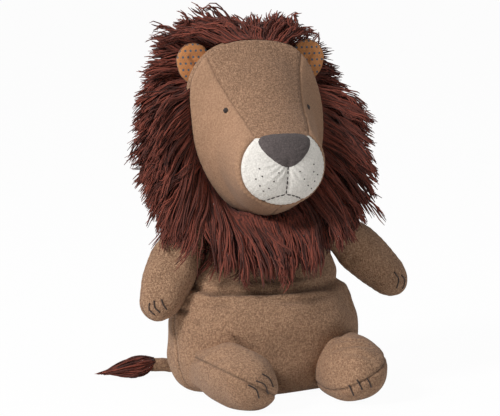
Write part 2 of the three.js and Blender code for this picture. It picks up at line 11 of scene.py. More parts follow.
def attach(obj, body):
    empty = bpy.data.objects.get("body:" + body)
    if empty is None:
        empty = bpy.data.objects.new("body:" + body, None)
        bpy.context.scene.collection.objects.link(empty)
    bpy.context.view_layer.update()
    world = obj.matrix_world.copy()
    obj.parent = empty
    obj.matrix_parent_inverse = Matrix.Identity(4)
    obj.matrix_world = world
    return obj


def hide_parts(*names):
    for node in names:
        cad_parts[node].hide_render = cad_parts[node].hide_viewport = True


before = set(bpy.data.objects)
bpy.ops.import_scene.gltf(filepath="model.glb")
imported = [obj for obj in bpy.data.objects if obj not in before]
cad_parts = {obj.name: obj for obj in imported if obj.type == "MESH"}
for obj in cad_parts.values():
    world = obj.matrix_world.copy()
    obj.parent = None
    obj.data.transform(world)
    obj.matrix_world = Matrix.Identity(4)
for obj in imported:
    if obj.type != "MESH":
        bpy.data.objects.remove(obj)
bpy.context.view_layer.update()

mm = 0.001
scene = bpy.context.scene
scene.view_settings.view_transform = "Standard"

# Camera

# Where the photograph was taken from, and how large the lion is in it
shot = {
    "azimuth": -22.0,
    "elevation": 7.5,
    "distanceMm": 2600,
    "mmPerPixel": 0.85,
    "pixels": (500, 416),
    "originPixel": (262, 387),
    "sensorMm": 36,
    "farM": 20,
}


def shotAxes():
    turn, rise = math.radians(shot["azimuth"]), math.radians(shot["elevation"])
    right = Vector((math.cos(turn), math.sin(turn), 0))
    ahead = Vector((-math.sin(turn) * math.cos(rise), math.cos(turn) * math.cos(rise), -math.sin(rise)))
    return right, ahead, right.cross(ahead)


shotRight, shotAhead, shotUp = shotAxes()


# How far a pixel lies from the picture's middle, across and up, in mm at the lion
def fromMiddle(pixel):
    width, height = shot["pixels"]
    return (pixel[0] - width / 2) * shot["mmPerPixel"], (height / 2 - pixel[1]) * shot["mmPerPixel"]


def setCamera():
    across, rise = fromMiddle(shot["originPixel"])
    data = bpy.data.cameras.new("shot")
    data.sensor_width = shot["sensorMm"]
    data.lens = data.sensor_width * shot["distanceMm"] / (shot["pixels"][0] * shot["mmPerPixel"])
    data.clip_end = shot["farM"]
    made = bpy.data.objects.new("shot", data)
    made.location = shotRight * (-across * mm) + shotUp * (-rise * mm) - shotAhead * shot["distanceMm"] * mm
    made.rotation_euler = shotAhead.to_track_quat("-Z", "Y").to_euler()
    scene.collection.objects.link(made)
    scene.camera = made
    return made


camera = setCamera()


# The point of a surface that a pixel of the photograph shows, in mm
def surfaceAt(pixel, tree):
    across, rise = fromMiddle(pixel)
    start = Vector(camera.location) / mm
    toward = shotRight * across + shotUp * rise + shotAhead * shot["distanceMm"]
    hit = tree.ray_cast(start, toward.normalized())[0]
    if hit is None:
        hit = tree.find_nearest(start + toward)[0]
    return np.array(hit)


# Materials


def linear(code):
    values = [int(code[i : i + 2], 16) / 255 for i in (1, 3, 5)]
    return tuple(v / 12.92 if v <= 0.04045 else ((v + 0.055) / 1.055) ** 2.4 for v in values) + (1,)


# A node with its settings. An input given as a node is linked to that node's first output.
def addNode(block, kind, inputs=None, **settings):
    tree = block.node_tree
    node = tree.nodes.new("ShaderNode" + kind)
    for name, value in settings.items():
        setattr(node, name, value)
    for name, value in (inputs or {}).items():
        if isinstance(value, bpy.types.Node):
            value = value.outputs[0]
        if isinstance(value, bpy.types.NodeSocket):
            tree.links.new(value, node.inputs[name])
        else:
            node.inputs[name].default_value = value
    return node


def emptied(block):
    block.use_nodes = True
    block.node_tree.nodes.clear()
    return block


# Soft matt fibre: little shine, a faint nap that lifts the edges, and threads that stand up
def softFibre(material, colour, height, settings):
    inputs = {"Height": height, "Strength": settings["bump"], "Distance": settings["bumpMm"] * mm}
    inputs = {
        "Base Color": colour,
        "Roughness": settings["roughness"],
        "IOR": settings["ior"],
        "Sheen Weight": settings["sheen"],
        "Sheen Roughness": 0.5,
        "Normal": addNode(material, "Bump", inputs),
    }
    shader = addNode(material, "BsdfPrincipled", inputs)
    addNode(material, "OutputMaterial", {"Surface": shader})
    return material


# Cotton and linen weave, brushed: uneven threads of two browns with darker slubs.
# Its threads are drawn about twice as coarse as real, so that they show at all.
brownCloth = {
    "warp": "#b18c6e",
    "weft": "#85634b",
    "slub": "#5d4434",
    # the colour of the painted shade at the bottoms of seams and folds
    "paintedShadeColour": "#33231a",
    "threadMm": 1.0,
    "stretches": [(1, 1, 0.4), (0.45, 0.45, 1)],  # of warp and weft, so that each runs its own way
    "threadRange": (0.82, 1.18),
    "slubMm": 1.35,
    "slubRange": (0.5, 0.64),
    "slubShare": 0.44,
    "wearMm": 38,
    "wornRange": (0.92, 1.07),
    "bump": 0.9,
    "bumpMm": 0.4,
    "roughness": 0.93,
    "ior": 1.5,
    "sheen": 0.06,
}
# The same cloth brushed smooth on the face's sides
cheekCloth = dict(brownCloth, warp="#ae886b", weft="#98745a", slubShare=0.25, bump=0.4, threadMm=0.9)
# The head's middle strip, a little darker and with more slubs
gussetCloth = dict(brownCloth, slubShare=0.52, slubMm=1.4, warp="#ab866a", weft="#83624a")
# Bleached linen, fine and even, a little grey in its threads
# Its shade colour is the painted shade at the bottoms of its seams and folds
muzzleLinen = dict(
    brownCloth, warp="#f0ebe4", weft="#dfdad3", slub="#b3aca3", paintedShadeColour="#7b6f64", slubShare=0.35,
    slubMm=1.6, threadMm=0.9, bump=0.5, sheen=0.03,
)
# Charcoal cotton, dense and flat
# Its shade colour is the painted shade at the bottoms of its seams and folds
noseCotton = dict(
    brownCloth, warp="#625857", weft="#4e4645", slub="#393332", paintedShadeColour="#241f1e", slubShare=0.4,
    slubMm=1.5, threadMm=0.9, bump=0.4, sheen=0.05,
)


def wovenCloth(name, cloth):
    material = emptied(bpy.data.materials.new(name))
    place = addNode(material, "TexCoord").outputs["Object"]
    threads = []
    for stretch in cloth["stretches"]:
        turned = addNode(material, "Mapping", {"Vector": place, "Scale": stretch})
        inputs = {"Vector": turned, "Scale": 1 / (cloth["threadMm"] * mm), "Detail": 2, "Roughness": 0.6}
        threads.append(addNode(material, "TexNoise", inputs))
    both = addNode(material, "Math", dict(enumerate(threads)), operation="ADD")
    low, high = cloth["threadRange"]
    thread = addNode(material, "MapRange", {"Value": both, "From Min": low, "From Max": high})
    inputs = {"Vector": place, "Scale": 1 / (cloth["slubMm"] * mm), "Detail": 5, "Roughness": 0.75}
    slubs = addNode(material, "TexNoise", inputs)
    low, high = cloth["slubRange"]
    inputs = {"Value": slubs, "From Min": low, "From Max": high, "To Max": cloth["slubShare"]}
    slubs = addNode(material, "MapRange", inputs)
    inputs = {"Vector": place, "Scale": 1 / (cloth["wearMm"] * mm), "Detail": 3, "Roughness": 0.6}
    wear = addNode(material, "TexNoise", inputs)
    low, high = cloth["wornRange"]
    inputs = {"Value": wear, "From Min": 0.3, "From Max": 0.7, "To Min": low, "To Max": high}
    wear = addNode(material, "MapRange", inputs)
    # A mix of colours has them in its seventh and eighth input and in its third output
    inputs = {0: thread, 6: linear(cloth["warp"]), 7: linear(cloth["weft"])}
    colour = addNode(material, "Mix", inputs, data_type="RGBA").outputs[2]
    inputs = {0: slubs, 6: colour, 7: linear(cloth["slub"])}
    colour = addNode(material, "Mix", inputs, data_type="RGBA").outputs[2]
    colour = addNode(material, "VectorMath", {0: colour, "Scale": wear}, operation="SCALE")
    # Painted shade: at the bottoms of seams and folds the colour is darkened towards the cloth's shade
    # colour, by the amount kept on the mesh
    paintedShade = addNode(material, "Attribute", attribute_name="paintedCreaseShade").outputs["Fac"]
    inputs = {0: paintedShade, 6: colour, 7: linear(cloth["paintedShadeColour"])}
    colour = addNode(material, "Mix", inputs, data_type="RGBA").outputs[2]
    return softFibre(material, colour, thread, cloth)


# Printed cotton of the ear linings: pin dots in staggered rows, seen from the front
dottedCotton = {
    "ground": "#c98a55",
    "groundDark": "#b0713f",
    "dot": "#4f5f6b",
    "pitchMm": 4.6,
    "rowMm": 5.3,
    "dotMm": 1.0,
    "threadMm": 0.7,
    "bump": 0.3,
    "bumpMm": 0.3,
    "roughness": 0.9,
    "ior": 1.5,
    "sheen": 0.15,
}


def printedCotton(name, cotton):
    material = emptied(bpy.data.materials.new(name))
    place = addNode(material, "TexCoord").outputs["Object"]
    axes = addNode(material, "SeparateXYZ", {0: place}).outputs
    distances = []
    for shift in (0, 0.5):
        squares = []
        for axis, pitch in ((0, cotton["pitchMm"] * mm), (2, 2 * cotton["rowMm"] * mm)):
            inputs = {0: axes[axis], 1: 1 / pitch, 2: shift}
            steps = addNode(material, "Math", inputs, operation="MULTIPLY_ADD")
            part = addNode(material, "Math", {0: steps}, operation="FRACT")
            inputs = {0: part, 1: pitch, 2: -pitch / 2}
            middle = addNode(material, "Math", inputs, operation="MULTIPLY_ADD")
            squares.append(addNode(material, "Math", {0: middle, 1: middle}, operation="MULTIPLY"))
        distances.append(addNode(material, "Math", dict(enumerate(squares)), operation="ADD"))
    nearest = addNode(material, "Math", dict(enumerate(distances)), operation="MINIMUM")
    edge = (cotton["dotMm"] * mm) ** 2
    inputs = {"Value": nearest, "From Min": edge * 0.7, "From Max": edge * 1.3, "To Min": 1, "To Max": 0}
    dots = addNode(material, "MapRange", inputs)
    inputs = {"Vector": place, "Scale": 1 / (cotton["threadMm"] * mm), "Detail": 3, "Roughness": 0.6}
    weave = addNode(material, "TexNoise", inputs)
    share = addNode(material, "MapRange", {"Value": weave, "From Min": 0.35, "From Max": 0.65})
    inputs = {0: share, 6: linear(cotton["ground"]), 7: linear(cotton["groundDark"])}
    colour = addNode(material, "Mix", inputs, data_type="RGBA").outputs[2]
    inputs = {0: dots, 6: colour, 7: linear(cotton["dot"])}
    colour = addNode(material, "Mix", inputs, data_type="RGBA").outputs[2]
    return softFibre(material, colour, weave, cotton)


# Twisted cotton yarn, dyed red-brown: each end has its own depth of colour
fringeYarn = {
    "deep": "#3a170f",
    "light": "#86402f",
    "twistMm": 2.4,
    "twistShade": 0.6,
    "bump": 0.6,
    "bumpMm": 0.4,
    "roughness": 0.85,
    "ior": 1.5,
    "sheen": 0.05,
}
# Stranded embroidery cotton, nearly black, and brown on the paws
darkThread = dict(fringeYarn, deep="#231b19", light="#3a2e2b", twistMm=0.8, sheen=0.1, roughness=0.7)
clawThread = dict(fringeYarn, deep="#2c1e18", light="#4a352b", twistMm=0.8, sheen=0.1, roughness=0.75)


def twistedYarn(name, yarn):
    material = emptied(bpy.data.materials.new(name))
    place = addNode(material, "TexCoord").outputs["Object"]
    own = addNode(material, "NewGeometry").outputs["Random Per Island"]
    inputs = {"Vector": place, "Scale": 1 / (yarn["twistMm"] * mm), "Detail": 3, "Roughness": 0.6}
    fibres = addNode(material, "TexNoise", inputs)
    inputs = {0: fibres, 1: yarn["twistShade"], 2: -yarn["twistShade"] / 2}
    twist = addNode(material, "Math", inputs, operation="MULTIPLY_ADD")
    share = addNode(material, "Math", {0: own, 1: twist}, operation="ADD", use_clamp=True)
    inputs = {0: share, 6: linear(yarn["deep"]), 7: linear(yarn["light"])}
    colour = addNode(material, "Mix", inputs, data_type="RGBA").outputs[2]
    return softFibre(material, colour, fibres, yarn)


clothBrown = wovenCloth("brushed_cotton_linen_brown", brownCloth)
clothGusset = wovenCloth("brushed_cotton_linen_slubbed", gussetCloth)
clothCheek = wovenCloth("brushed_cotton_linen_smooth", cheekCloth)
clothMuzzle = wovenCloth("bleached_linen", muzzleLinen)
clothNose = wovenCloth("charcoal_cotton", noseCotton)
clothDotted = printedCotton("printed_cotton_dots", dottedCotton)
yarnFringe = twistedYarn("twisted_cotton_fringe", fringeYarn)
threadDark = twistedYarn("embroidery_cotton_dark", darkThread)
threadClaw = twistedYarn("embroidery_cotton_brown", clawThread)
print("materials made")

# Mesh helpers, all in mm until a mesh is made


def makeObject(name, points, corners, totals, material, shade=None):
    mesh = bpy.data.meshes.new(name)
    mesh.vertices.add(len(points))
    mesh.vertices.foreach_set("co", (np.asarray(points, float) * mm).ravel())
    mesh.loops.add(len(corners))
    mesh.loops.foreach_set("vertex_index", np.asarray(corners, np.int32))
    mesh.polygons.add(len(totals))
    starts = np.concatenate([[0], np.cumsum(totals)[:-1]])
    mesh.polygons.foreach_set("loop_start", starts.astype(np.int32))
    mesh.polygons.foreach_set("loop_total", np.asarray(totals, np.int32))
    mesh.polygons.foreach_set("use_smooth", np.ones(len(totals), bool))
    mesh.update(calc_edges=True)
    mesh.validate()
    mesh.materials.append(material)
    # Painted shade: how dark each point is painted at the bottoms of seams and folds, kept on the mesh for
    # the cloth's colour
    if shade is not None:
        mesh.attributes.new("paintedCreaseShade", "FLOAT", "POINT").data.foreach_set("value", np.clip(shade, 0, 1))
    made = bpy.data.objects.new(name, mesh)
    scene.collection.objects.link(made)
    return made


# A monotone cubic through points, so that a form never bulges between its rings
def curveThrough(x, y, at):
    x = np.asarray(x, float)
    y = np.asarray(y, float)
    step = np.diff(x)
    rise = np.diff(y) / step
    slope = np.zeros(len(x))
    slope[0], slope[-1] = rise[0], rise[-1]
    for i in range(1, len(x) - 1):
        if rise[i - 1] * rise[i] > 0:
            before = 2 * step[i] + step[i - 1]
            after = step[i] + 2 * step[i - 1]
            slope[i] = (before + after) / (before / rise[i - 1] + after / rise[i])
    k = np.clip(np.searchsorted(x, at) - 1, 0, len(step) - 1)
    t = (at - x[k]) / step[k]
    first = (1 + 2 * t) * (1 - t) ** 2 * y[k] + t * (1 - t) ** 2 * step[k] * slope[k]
    return first + t**2 * (3 - 2 * t) * y[k + 1] + t**2 * (t - 1) * step[k] * slope[k + 1]


# A form's stations: place along it, half-width, half-depth, drift and fullness of its crown
def stationsOf(form):
    rows = []
    root = form.get("root", 0)
    for i in range(7) if root else ():
        angle = i / 6 * math.pi / 2
        rows.append((-root * math.cos(angle), root * math.sin(angle), root * math.sin(angle), 0, 0))
    if not root:
        rows.append((0, 0, 0, form.get("startDrift", 0) * form["depth"], 0))
    for along, across, through, drift, *full in form["shares"]:
        half = (across * form["width"] / 2, through * form["depth"] / 2)
        rows.append((along * form["length"], *half, drift * form["depth"], *(full or (0,))))
    rows.append((form["length"], 0, 0, form.get("endDrift", 0) * form["depth"], 0))
    return np.array(rows, float).T


def unit(vectors):
    return vectors / np.maximum(np.linalg.norm(vectors, axis=-1, keepdims=True), 1e-9)


# Right-handed axes of a form from the way it reaches and the way its width lies
def axesOf(along, across):
    z = unit(np.array(along, float))
    x = np.array(across, float)
    x = unit(x - x.dot(z) * z)
    return np.array([x, np.cross(z, x), z])


# Faces between rings of points, with the first and the last ring as ends
def ringFaces(rings, sides, first=0):
    here = first + np.arange(rings)[:, None] * sides + np.arange(sides)[None, :]
    beside = np.roll(here, -1, 1)
    quads = np.stack([here[:-1], beside[:-1], beside[1:], here[1:]], -1).reshape(-1, 4)
    return quads, here[0][::-1], here[-1]


# Rings of points round a form's middle line, and the faces between them
def formMesh(form):
    rings, sides = form["rings"], form["sides"]
    z, a, b, drift, full = stationsOf(form)
    at = z[0] + (z[-1] - z[0]) * (1 - np.cos(np.pi * np.linspace(0, 1, rings + 1)[1:-1])) / 2
    halfWidth = np.sqrt(np.maximum(curveThrough(z, a**2, at), 0))[:, None]
    halfDepth = np.sqrt(np.maximum(curveThrough(z, b**2, at), 0))[:, None]
    middle = curveThrough(z, drift, at)[:, None]
    fullness = curveThrough(z, full, at)[:, None]
    power = 2 / (2 + (form.get("crownSquare", 2) - 2) * fullness)
    pear = form.get("pearShare", 0) * fullness
    angle = np.linspace(0, 2 * np.pi, sides, endpoint=False)[None, :]
    across, up = np.cos(angle), np.sin(angle)
    rise = np.where(up > 0, np.abs(up) ** power, up)
    side = np.where(up > 0, np.sign(across) * np.abs(across) ** power, across) * (1 + pear * rise)
    local = [halfWidth * side, middle + halfDepth * rise, np.broadcast_to(at[:, None], rise.shape)]
    local = np.stack(local, -1).reshape(-1, 3)
    points = np.vstack([[[0, drift[0], z[0]]], local, [[0, drift[-1], z[-1]]]])
    last = len(points) - 1
    start = [(0, 1 + (s + 1) % sides, 1 + s) for s in range(sides)]
    end = [(last - sides + s, last - sides + (s + 1) % sides, last) for s in range(sides)]
    placed = np.array(form["at"]) + points @ axesOf(form["along"], form["across"])
    return placed, start + ringFaces(rings - 1, sides, 1)[0].tolist() + end


# The form as a Blender mesh, with its faces split where seams run
def seamedMesh(form, seams):
    points, faces = formMesh(form)
    mesh = bpy.data.meshes.new("form")
    mesh.from_pydata(points.tolist(), [], faces)
    work = bmesh.new()
    work.from_mesh(mesh)
    for point, normal in seams:
        geometry = work.verts[:] + work.edges[:] + work.faces[:]
        bmesh.ops.bisect_plane(work, geom=geometry, plane_co=point, plane_no=normal, dist=0.02)
    work.to_mesh(mesh)
    tree = BVHTree.FromBMesh(work)
    work.free()
    return mesh, tree


# A mesh's points, their normals and its faces' centres
def readMesh(mesh):
    points, normals = np.zeros(3 * len(mesh.vertices)), np.zeros(3 * len(mesh.vertices))
    centres = np.zeros(3 * len(mesh.polygons))
    mesh.vertices.foreach_get("co", points)
    mesh.vertices.foreach_get("normal", normals)
    mesh.polygons.foreach_get("center", centres)
    return points.reshape(-1, 3), normals.reshape(-1, 3), centres.reshape(-1, 3)


# The surface that a mesh has once its points have moved
def treeOf(mesh, points):
    return BVHTree.FromPolygons(points.tolist(), [tuple(face.vertices) for face in mesh.polygons])


# A piece from those faces of a form that belong to it
def panelFrom(name, mesh, points, kept, material, shade=None):
    starts, totals = np.zeros(len(mesh.polygons), np.int32), np.zeros(len(mesh.polygons), np.int32)
    corners = np.zeros(len(mesh.loops), np.int32)
    mesh.polygons.foreach_get("loop_start", starts)
    mesh.polygons.foreach_get("loop_total", totals)
    mesh.loops.foreach_get("vertex_index", corners)
    keptCorners = np.repeat(kept, totals)
    used, renumbered = np.unique(corners[keptCorners], return_inverse=True)
    shade = None if shade is None else shade[used]
    return makeObject(name, points[used], renumbered, totals[kept], material, shade)


# What a piece rides on and the solids that it stands for
def dress(piece, body, nodes=()):
    if nodes:
        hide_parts(*nodes)
    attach(piece, body)


# Uneven filling: a sum of slow waves, seeded per form
def lumps(points, form, waves=14):
    source = np.random.default_rng(form["seed"])
    total = np.zeros(len(points))
    for _ in range(waves):
        way = unit(source.normal(size=3)) * 2 * np.pi / (form["lumpMm"] * source.uniform(0.7, 1.5))
        total += np.sin(points @ way + source.uniform(0, 2 * np.pi))
    return total * form["lumpHeight"] / waves**0.5


def bell(distance, width):
    return np.exp(-((distance / width) ** 2))


sewing = {
    "puffAt": 4.5,  # the cloth puffs up this far from its seam, in mm
    "puffWidth": 3.0,
    "puckerFade": 5,
    # the most painted shade in a seam's groove and in a fold's valley
    "paintedSeamShade": 0.55,
    "paintedFoldShade": 0.6,
    "foldSharp": 1.4,
    "bulge": 0.35,
}


# A sewn seam: cloth pulled into a groove, puffed beside it and lightly puckered
def seamDip(distance, along, depth=1.1, width=1.3, puff=0.35, pucker=0.22, pitch=7.0):
    beside = puff * bell(np.abs(distance) - sewing["puffAt"], sewing["puffWidth"])
    waves = pucker * np.sin(2 * np.pi * along / pitch + 0.9 * np.sin(along / 9))
    waves = waves * np.exp(-np.abs(distance) / sewing["puckerFade"])
    return beside - depth * bell(distance, width) + waves * (1 - bell(distance, width))


# Painted shade at the bottom of a seam's groove, standing also for the dark line of its stitching: how dark
# it is
def paintedSeamShade(distance, width=0.8):
    return sewing["paintedSeamShade"] * bell(distance, width)


# Distance from a line through points and the way run along it
def lineDistance(points, line):
    line = np.asarray(line, float)
    best = np.full(len(points), 1e9)
    run = np.zeros(len(points))
    done = 0
    for a, b in zip(line[:-1], line[1:]):
        way = b - a
        length = np.linalg.norm(way)
        t = np.clip((points - a) @ way / length**2, 0, 1)
        gap = np.linalg.norm(points - (a + t[:, None] * way), axis=1)
        closer = gap < best
        best = np.where(closer, gap, best)
        run = np.where(closer, done + t * length, run)
        done += length
    return best, run / done


# A fold: a sharp valley that fades at its ends, with cloth bulging on both sides
def fold(points, line, depth, width):
    distance, run = lineDistance(points, line)
    fade = np.clip(np.sin(np.pi * np.clip(run, 0.02, 0.98)) * 1.6, 0, 1)
    valley = -depth * np.exp(-np.abs(distance / width) ** sewing["foldSharp"])
    return (valley + sewing["bulge"] * depth * bell(distance - 2.4 * width, 1.2 * width)) * fade


# Painted shade at the bottom of a fold: darker the deeper it lies
def paintedFoldShade(folded):
    return np.clip((-folded - 0.8) / 5, 0, sewing["paintedFoldShade"])


# How far along a line each of its points lies
def runAlong(line):
    return np.concatenate([[0], np.cumsum(np.linalg.norm(np.diff(line, axis=0), axis=1))])


def smoothLine(points, count=24):
    points = np.asarray(points, float)
    run = runAlong(points)
    at = np.linspace(0, run[-1], count)
    return np.stack([curveThrough(run, points[:, k], at) for k in range(3)], -1)


def photoLine(pixels, tree, count=24):
    return smoothLine([surfaceAt(pixel, tree) for pixel in pixels], count)


# A form's points moved by its seam, its filling and its folds, and how dark each one is painted: painted
# shade in its seam and folds
def stuffed(form, points, normals, tree, distance, along):
    moved = seamDip(distance, along, form["seamDepth"]) + lumps(points, form)
    folded = 0
    for pixels, depth, width in form["folds"]:
        folded = folded + fold(points, photoLine(pixels, tree), depth, width)
    points = points + normals * (moved + folded)[:, None]
    points[:, 2] = np.maximum(points[:, 2], 0)
    return points, np.maximum(paintedSeamShade(distance), paintedFoldShade(folded))


threadUp = (0.13, 0.21, 0.97)  # no thread or yarn runs along these
yarnUp = (0.21, 0.93, 0.3)


# Rings of points round one line or many
def tubesAlong(lines, radii, sides, up=threadUp):
    ways = unit(np.gradient(lines, axis=-2))
    side = unit(np.cross(ways, up))
    other = np.cross(ways, side)
    angle = np.linspace(0, 2 * np.pi, sides, endpoint=False)[:, None]
    ring = side[..., None, :] * np.cos(angle) + other[..., None, :] * np.sin(angle)
    return lines[..., None, :] + ring * np.asarray(radii)[..., None, None]


# One object from tubes that all have the same number of rings and sides
def tubesObject(name, tubes, material):
    tubes = np.asarray(tubes)
    count, rings, sides = tubes.shape[:3]
    quads, start, end = ringFaces(rings, sides)
    each = np.arange(count)[:, None] * rings * sides
    corners = np.hstack([part.ravel() + each for part in (quads, start, end)]).ravel()
    totals = np.tile(np.concatenate([np.full(len(quads), 4), [sides, sides]]), count)
    return makeObject(name, tubes.reshape(-1, 3), corners, totals, material)


# A hand stitch: thick in its middle, sinking into the cloth at both ends
def stitch(start, end, out, radius, lift=0.25):
    t = np.linspace(0, 1, 7)[:, None]
    line = start * (1 - t) + end * t + out * ((lift + radius * 0.6) * np.sin(np.pi * t) - radius * 0.5)
    return tubesAlong(line, radius * np.array([0.35, 0.8, 1, 1, 1, 0.8, 0.35]), 6)


# Stitches of about one length along a line on a surface
def stitchRow(line, tree, radius, lengthMm, gapMm):
    run = runAlong(line)
    count = max(1, round(run[-1] / (lengthMm + gapMm)))
    rows = []
    for i in range(count):
        low = run[-1] * i / count + gapMm / 2
        high = run[-1] * (i + 1) / count - gapMm / 2
        ends = [np.array([np.interp(v, run, line[:, k]) for k in range(3)]) for v in (low, high)]
        out = np.array(tree.find_nearest(Vector((ends[0] + ends[1]) / 2))[1])
        rows.append(stitch(ends[0], ends[1], out, radius))
    return rows


# Floor and light

studio = {
    "floor": "#f4f4f2",
    "reachMm": 9000,
    "shadowShare": 0.035,
    "world": 0.19,
    "aim": (0, 0, 0.16),
    "lamps": {  # place and size in m, and watts
        "key": ((-2.5, -0.95, 2.0), 0.7, 92),
        "fill": ((1.3, -1.7, 1.9), 1.2, 7),
        "top": ((-0.3, 0.4, 2.3), 1.2, 8),
    },
}


# White paper that only takes the lion's shadow: it glows where the camera or a mirror sees it
def paperMaterial():
    material = emptied(bpy.data.materials.new("white_seamless_paper"))
    rays = addNode(material, "LightPath").outputs
    inputs = {0: rays["Is Camera Ray"], 1: rays["Is Glossy Ray"]}
    seen = addNode(material, "Math", inputs, operation="MAXIMUM")
    inputs = {0: seen, 1: rays["Is Transmission Ray"]}
    seen = addNode(material, "Math", inputs, operation="MAXIMUM")
    share = addNode(material, "Math", {0: seen, 1: 1 - studio["shadowShare"]}, operation="MULTIPLY")
    paper = addNode(material, "BsdfDiffuse", {"Color": linear(studio["floor"])})
    glow = addNode(material, "Emission", {"Color": (1, 1, 1, 1), "Strength": 1.0})
    both = addNode(material, "MixShader", {0: share, 1: paper, 2: glow})
    addNode(material, "OutputMaterial", {"Surface": both})
    return material


def buildStudio():
    reach = studio["reachMm"]
    ground = [(-reach, -reach, 0), (reach, -reach, 0), (reach, reach, 0), (-reach, reach, 0)]
    makeObject("floor", ground, [0, 1, 2, 3], [4], paperMaterial())
    world = emptied(bpy.data.worlds.new("studio"))
    seen = addNode(world, "LightPath").outputs["Is Camera Ray"]
    strength = addNode(world, "MapRange", {"Value": seen, "To Min": studio["world"], "To Max": 1.0})
    sky = addNode(world, "Background", {"Color": (1, 1, 1, 1), "Strength": strength})
    addNode(world, "OutputWorld", {0: sky})
    scene.world = world
    for name, (place, size, watts) in studio["lamps"].items():
        data = bpy.data.lights.new(name, "AREA")
        data.size = size
        data.energy = watts
        lamp = bpy.data.objects.new(name, data)
        lamp.location = place
        aim = Vector(studio["aim"]) - lamp.location
        lamp.rotation_euler = aim.to_track_quat("-Z", "Y").to_euler()
        scene.collection.objects.link(lamp)


buildStudio()

# Torso

torso = {
    "at": (0, 0, -0.5),
    "along": (0, 0, 1),
    "across": (1, 0, 0),
    "length": 152,
    "width": 165,
    "depth": 126,
    "seamY": -9,
    "endDrift": 0.055,
    "shares": [
        [0.003, 0.55, 0.55, 0],
        [0.04, 0.84, 0.82, 0],
        [0.11, 0.94, 0.93, -0.005],
        [0.225, 1, 0.99, -0.01],
        [0.39, 1, 1, -0.02],
        [0.5, 0.95, 0.94, -0.014],
        [0.565, 0.89, 0.85, -0.008],
        [0.605, 0.79, 0.71, 0.02],
        [0.65, 0.82, 0.64, 0.05],
        [0.75, 0.79, 0.58, 0.07],
        [0.84, 0.72, 0.55, 0.07],
        [0.92, 0.61, 0.5, 0.065],
        [0.975, 0.38, 0.38, 0.055],
    ],
    "rings": 190,
    "sides": 300,
    # Folds by the pixels that the photograph shows them at, with depth and width in mm
    "folds": [
        ([(180, 290), (215, 293), (253, 291), (290, 291), (322, 286), (336, 280)], 5.5, 3.2),
        ([(190, 296), (210, 303), (236, 306)], 2.2, 3.6),
        ([(262, 298), (292, 301), (318, 296), (340, 287)], 2.4, 3.4),
        ([(200, 282), (226, 284), (250, 281)], 1.8, 3.6),
        ([(165, 307), (180, 309), (194, 315)], 2.6, 2.2),
        ([(186, 320), (198, 325), (205, 328)], 1.8, 2.2),
        ([(231, 335), (243, 347), (249, 354)], 2.8, 2.4),
        ([(249, 354), (262, 368), (285, 388)], 3.2, 3.0),
        ([(345, 285), (351, 299), (353, 313)], 1.6, 2.6),
    ],
    "seamDepth": 1.1,
    "seed": 3,
    "lumpMm": 44,
    "lumpHeight": 1.1,
    "fill": 0.85,
}


def buildTorso():
    seamY = torso["seamY"]
    mesh, tree = seamedMesh(torso, [((0, seamY, 0), (0, 1, 0))])
    points, normals, centres = readMesh(mesh)
    points, shade = stuffed(torso, points, normals, tree, points[:, 1] - seamY, points[:, 2])
    front = panelFrom("torso_front", mesh, points, centres[:, 1] < seamY, clothBrown, shade)
    back = panelFrom("torso_back", mesh, points, centres[:, 1] >= seamY, clothBrown, shade)
    solids = ["torso_front_panel", "torso_stuffing", "neck_stuffing"]
    dress(front, "torso", solids)
    dress(back, "torso", ["torso_back_panel"])
    return tree


torsoTree = buildTorso()
print("torso built")

# Limbs

arm = {
    "root": 17,
    "length": 87,
    "width": 42.5,
    "depth": 33,
    "shares": [
        [0.16, 0.88, 1.06, 0],
        [0.38, 1, 1.02, 0],
        [0.6, 0.98, 0.98, 0],
        [0.79, 0.85, 0.86, 0],
        [0.92, 0.6, 0.62, 0],
        [0.98, 0.32, 0.34, 0],
    ],
    "rings": 100,
    "sides": 110,
    "seamDepth": 0.9,
    "lumpMm": 26,
    "lumpHeight": 0.7,
    "fill": 0.85,
}
rightArm = dict(arm, at=(-67, 2, 138), along=(-37, -19, -69), across=(-1, 0, 0), length=82, seed=11)
leftArm = dict(arm, at=(64, 2, 137), along=(68, -3, -62), across=(1, 0, 0), length=90, width=40, seed=12)
leg = {
    "root": 22,
    "length": 94,
    "width": 59,
    "depth": 51,
    "roll": 28,
    "shares": [
        [0.2, 0.86, 0.92, 0],
        [0.42, 1, 1, 0],
        [0.65, 0.97, 0.96, 0],
        [0.83, 0.83, 0.82, 0],
        [0.94, 0.58, 0.57, 0],
        [0.985, 0.3, 0.3, 0],
    ],
    "rings": 130,
    "sides": 150,
    "seamDepth": 0.9,
    "lumpMm": 30,
    "lumpHeight": 0.9,
    "fill": 0.85,
}
legRoll = math.radians(leg["roll"])
rightLeg = dict(
    leg, at=(-53, -22, 25.5), along=(5, -99, -3), across=(math.cos(legRoll), 0, -math.sin(legRoll)), seed=13
)
leftLeg = dict(
    leg, at=(57, -22, 27), along=(-13, -100, -4), across=(math.cos(legRoll), 0, math.sin(legRoll)), seed=14
)
# Folds by their pixels, each with depth and width in mm
rightArm["folds"] = []
leftArm["folds"] = [([(340, 268), (349, 262), (355, 254)], 1.2, 2.2)]
rightLeg["folds"] = [
    ([(190, 362), (207, 354), (226, 346)], 1.6, 2.4),
    ([(196, 370), (212, 362), (230, 356)], 0.9, 2.6),
]
leftLeg["folds"] = [
    ([(330, 350), (345, 333), (362, 326)], 2.4, 2.6),
    ([(338, 342), (356, 341), (374, 344)], 1.5, 2.2),
    ([(328, 353), (350, 347), (373, 348)], 1.7, 2.2),
    ([(341, 353), (360, 355), (375, 361)], 1.2, 2.2),
]
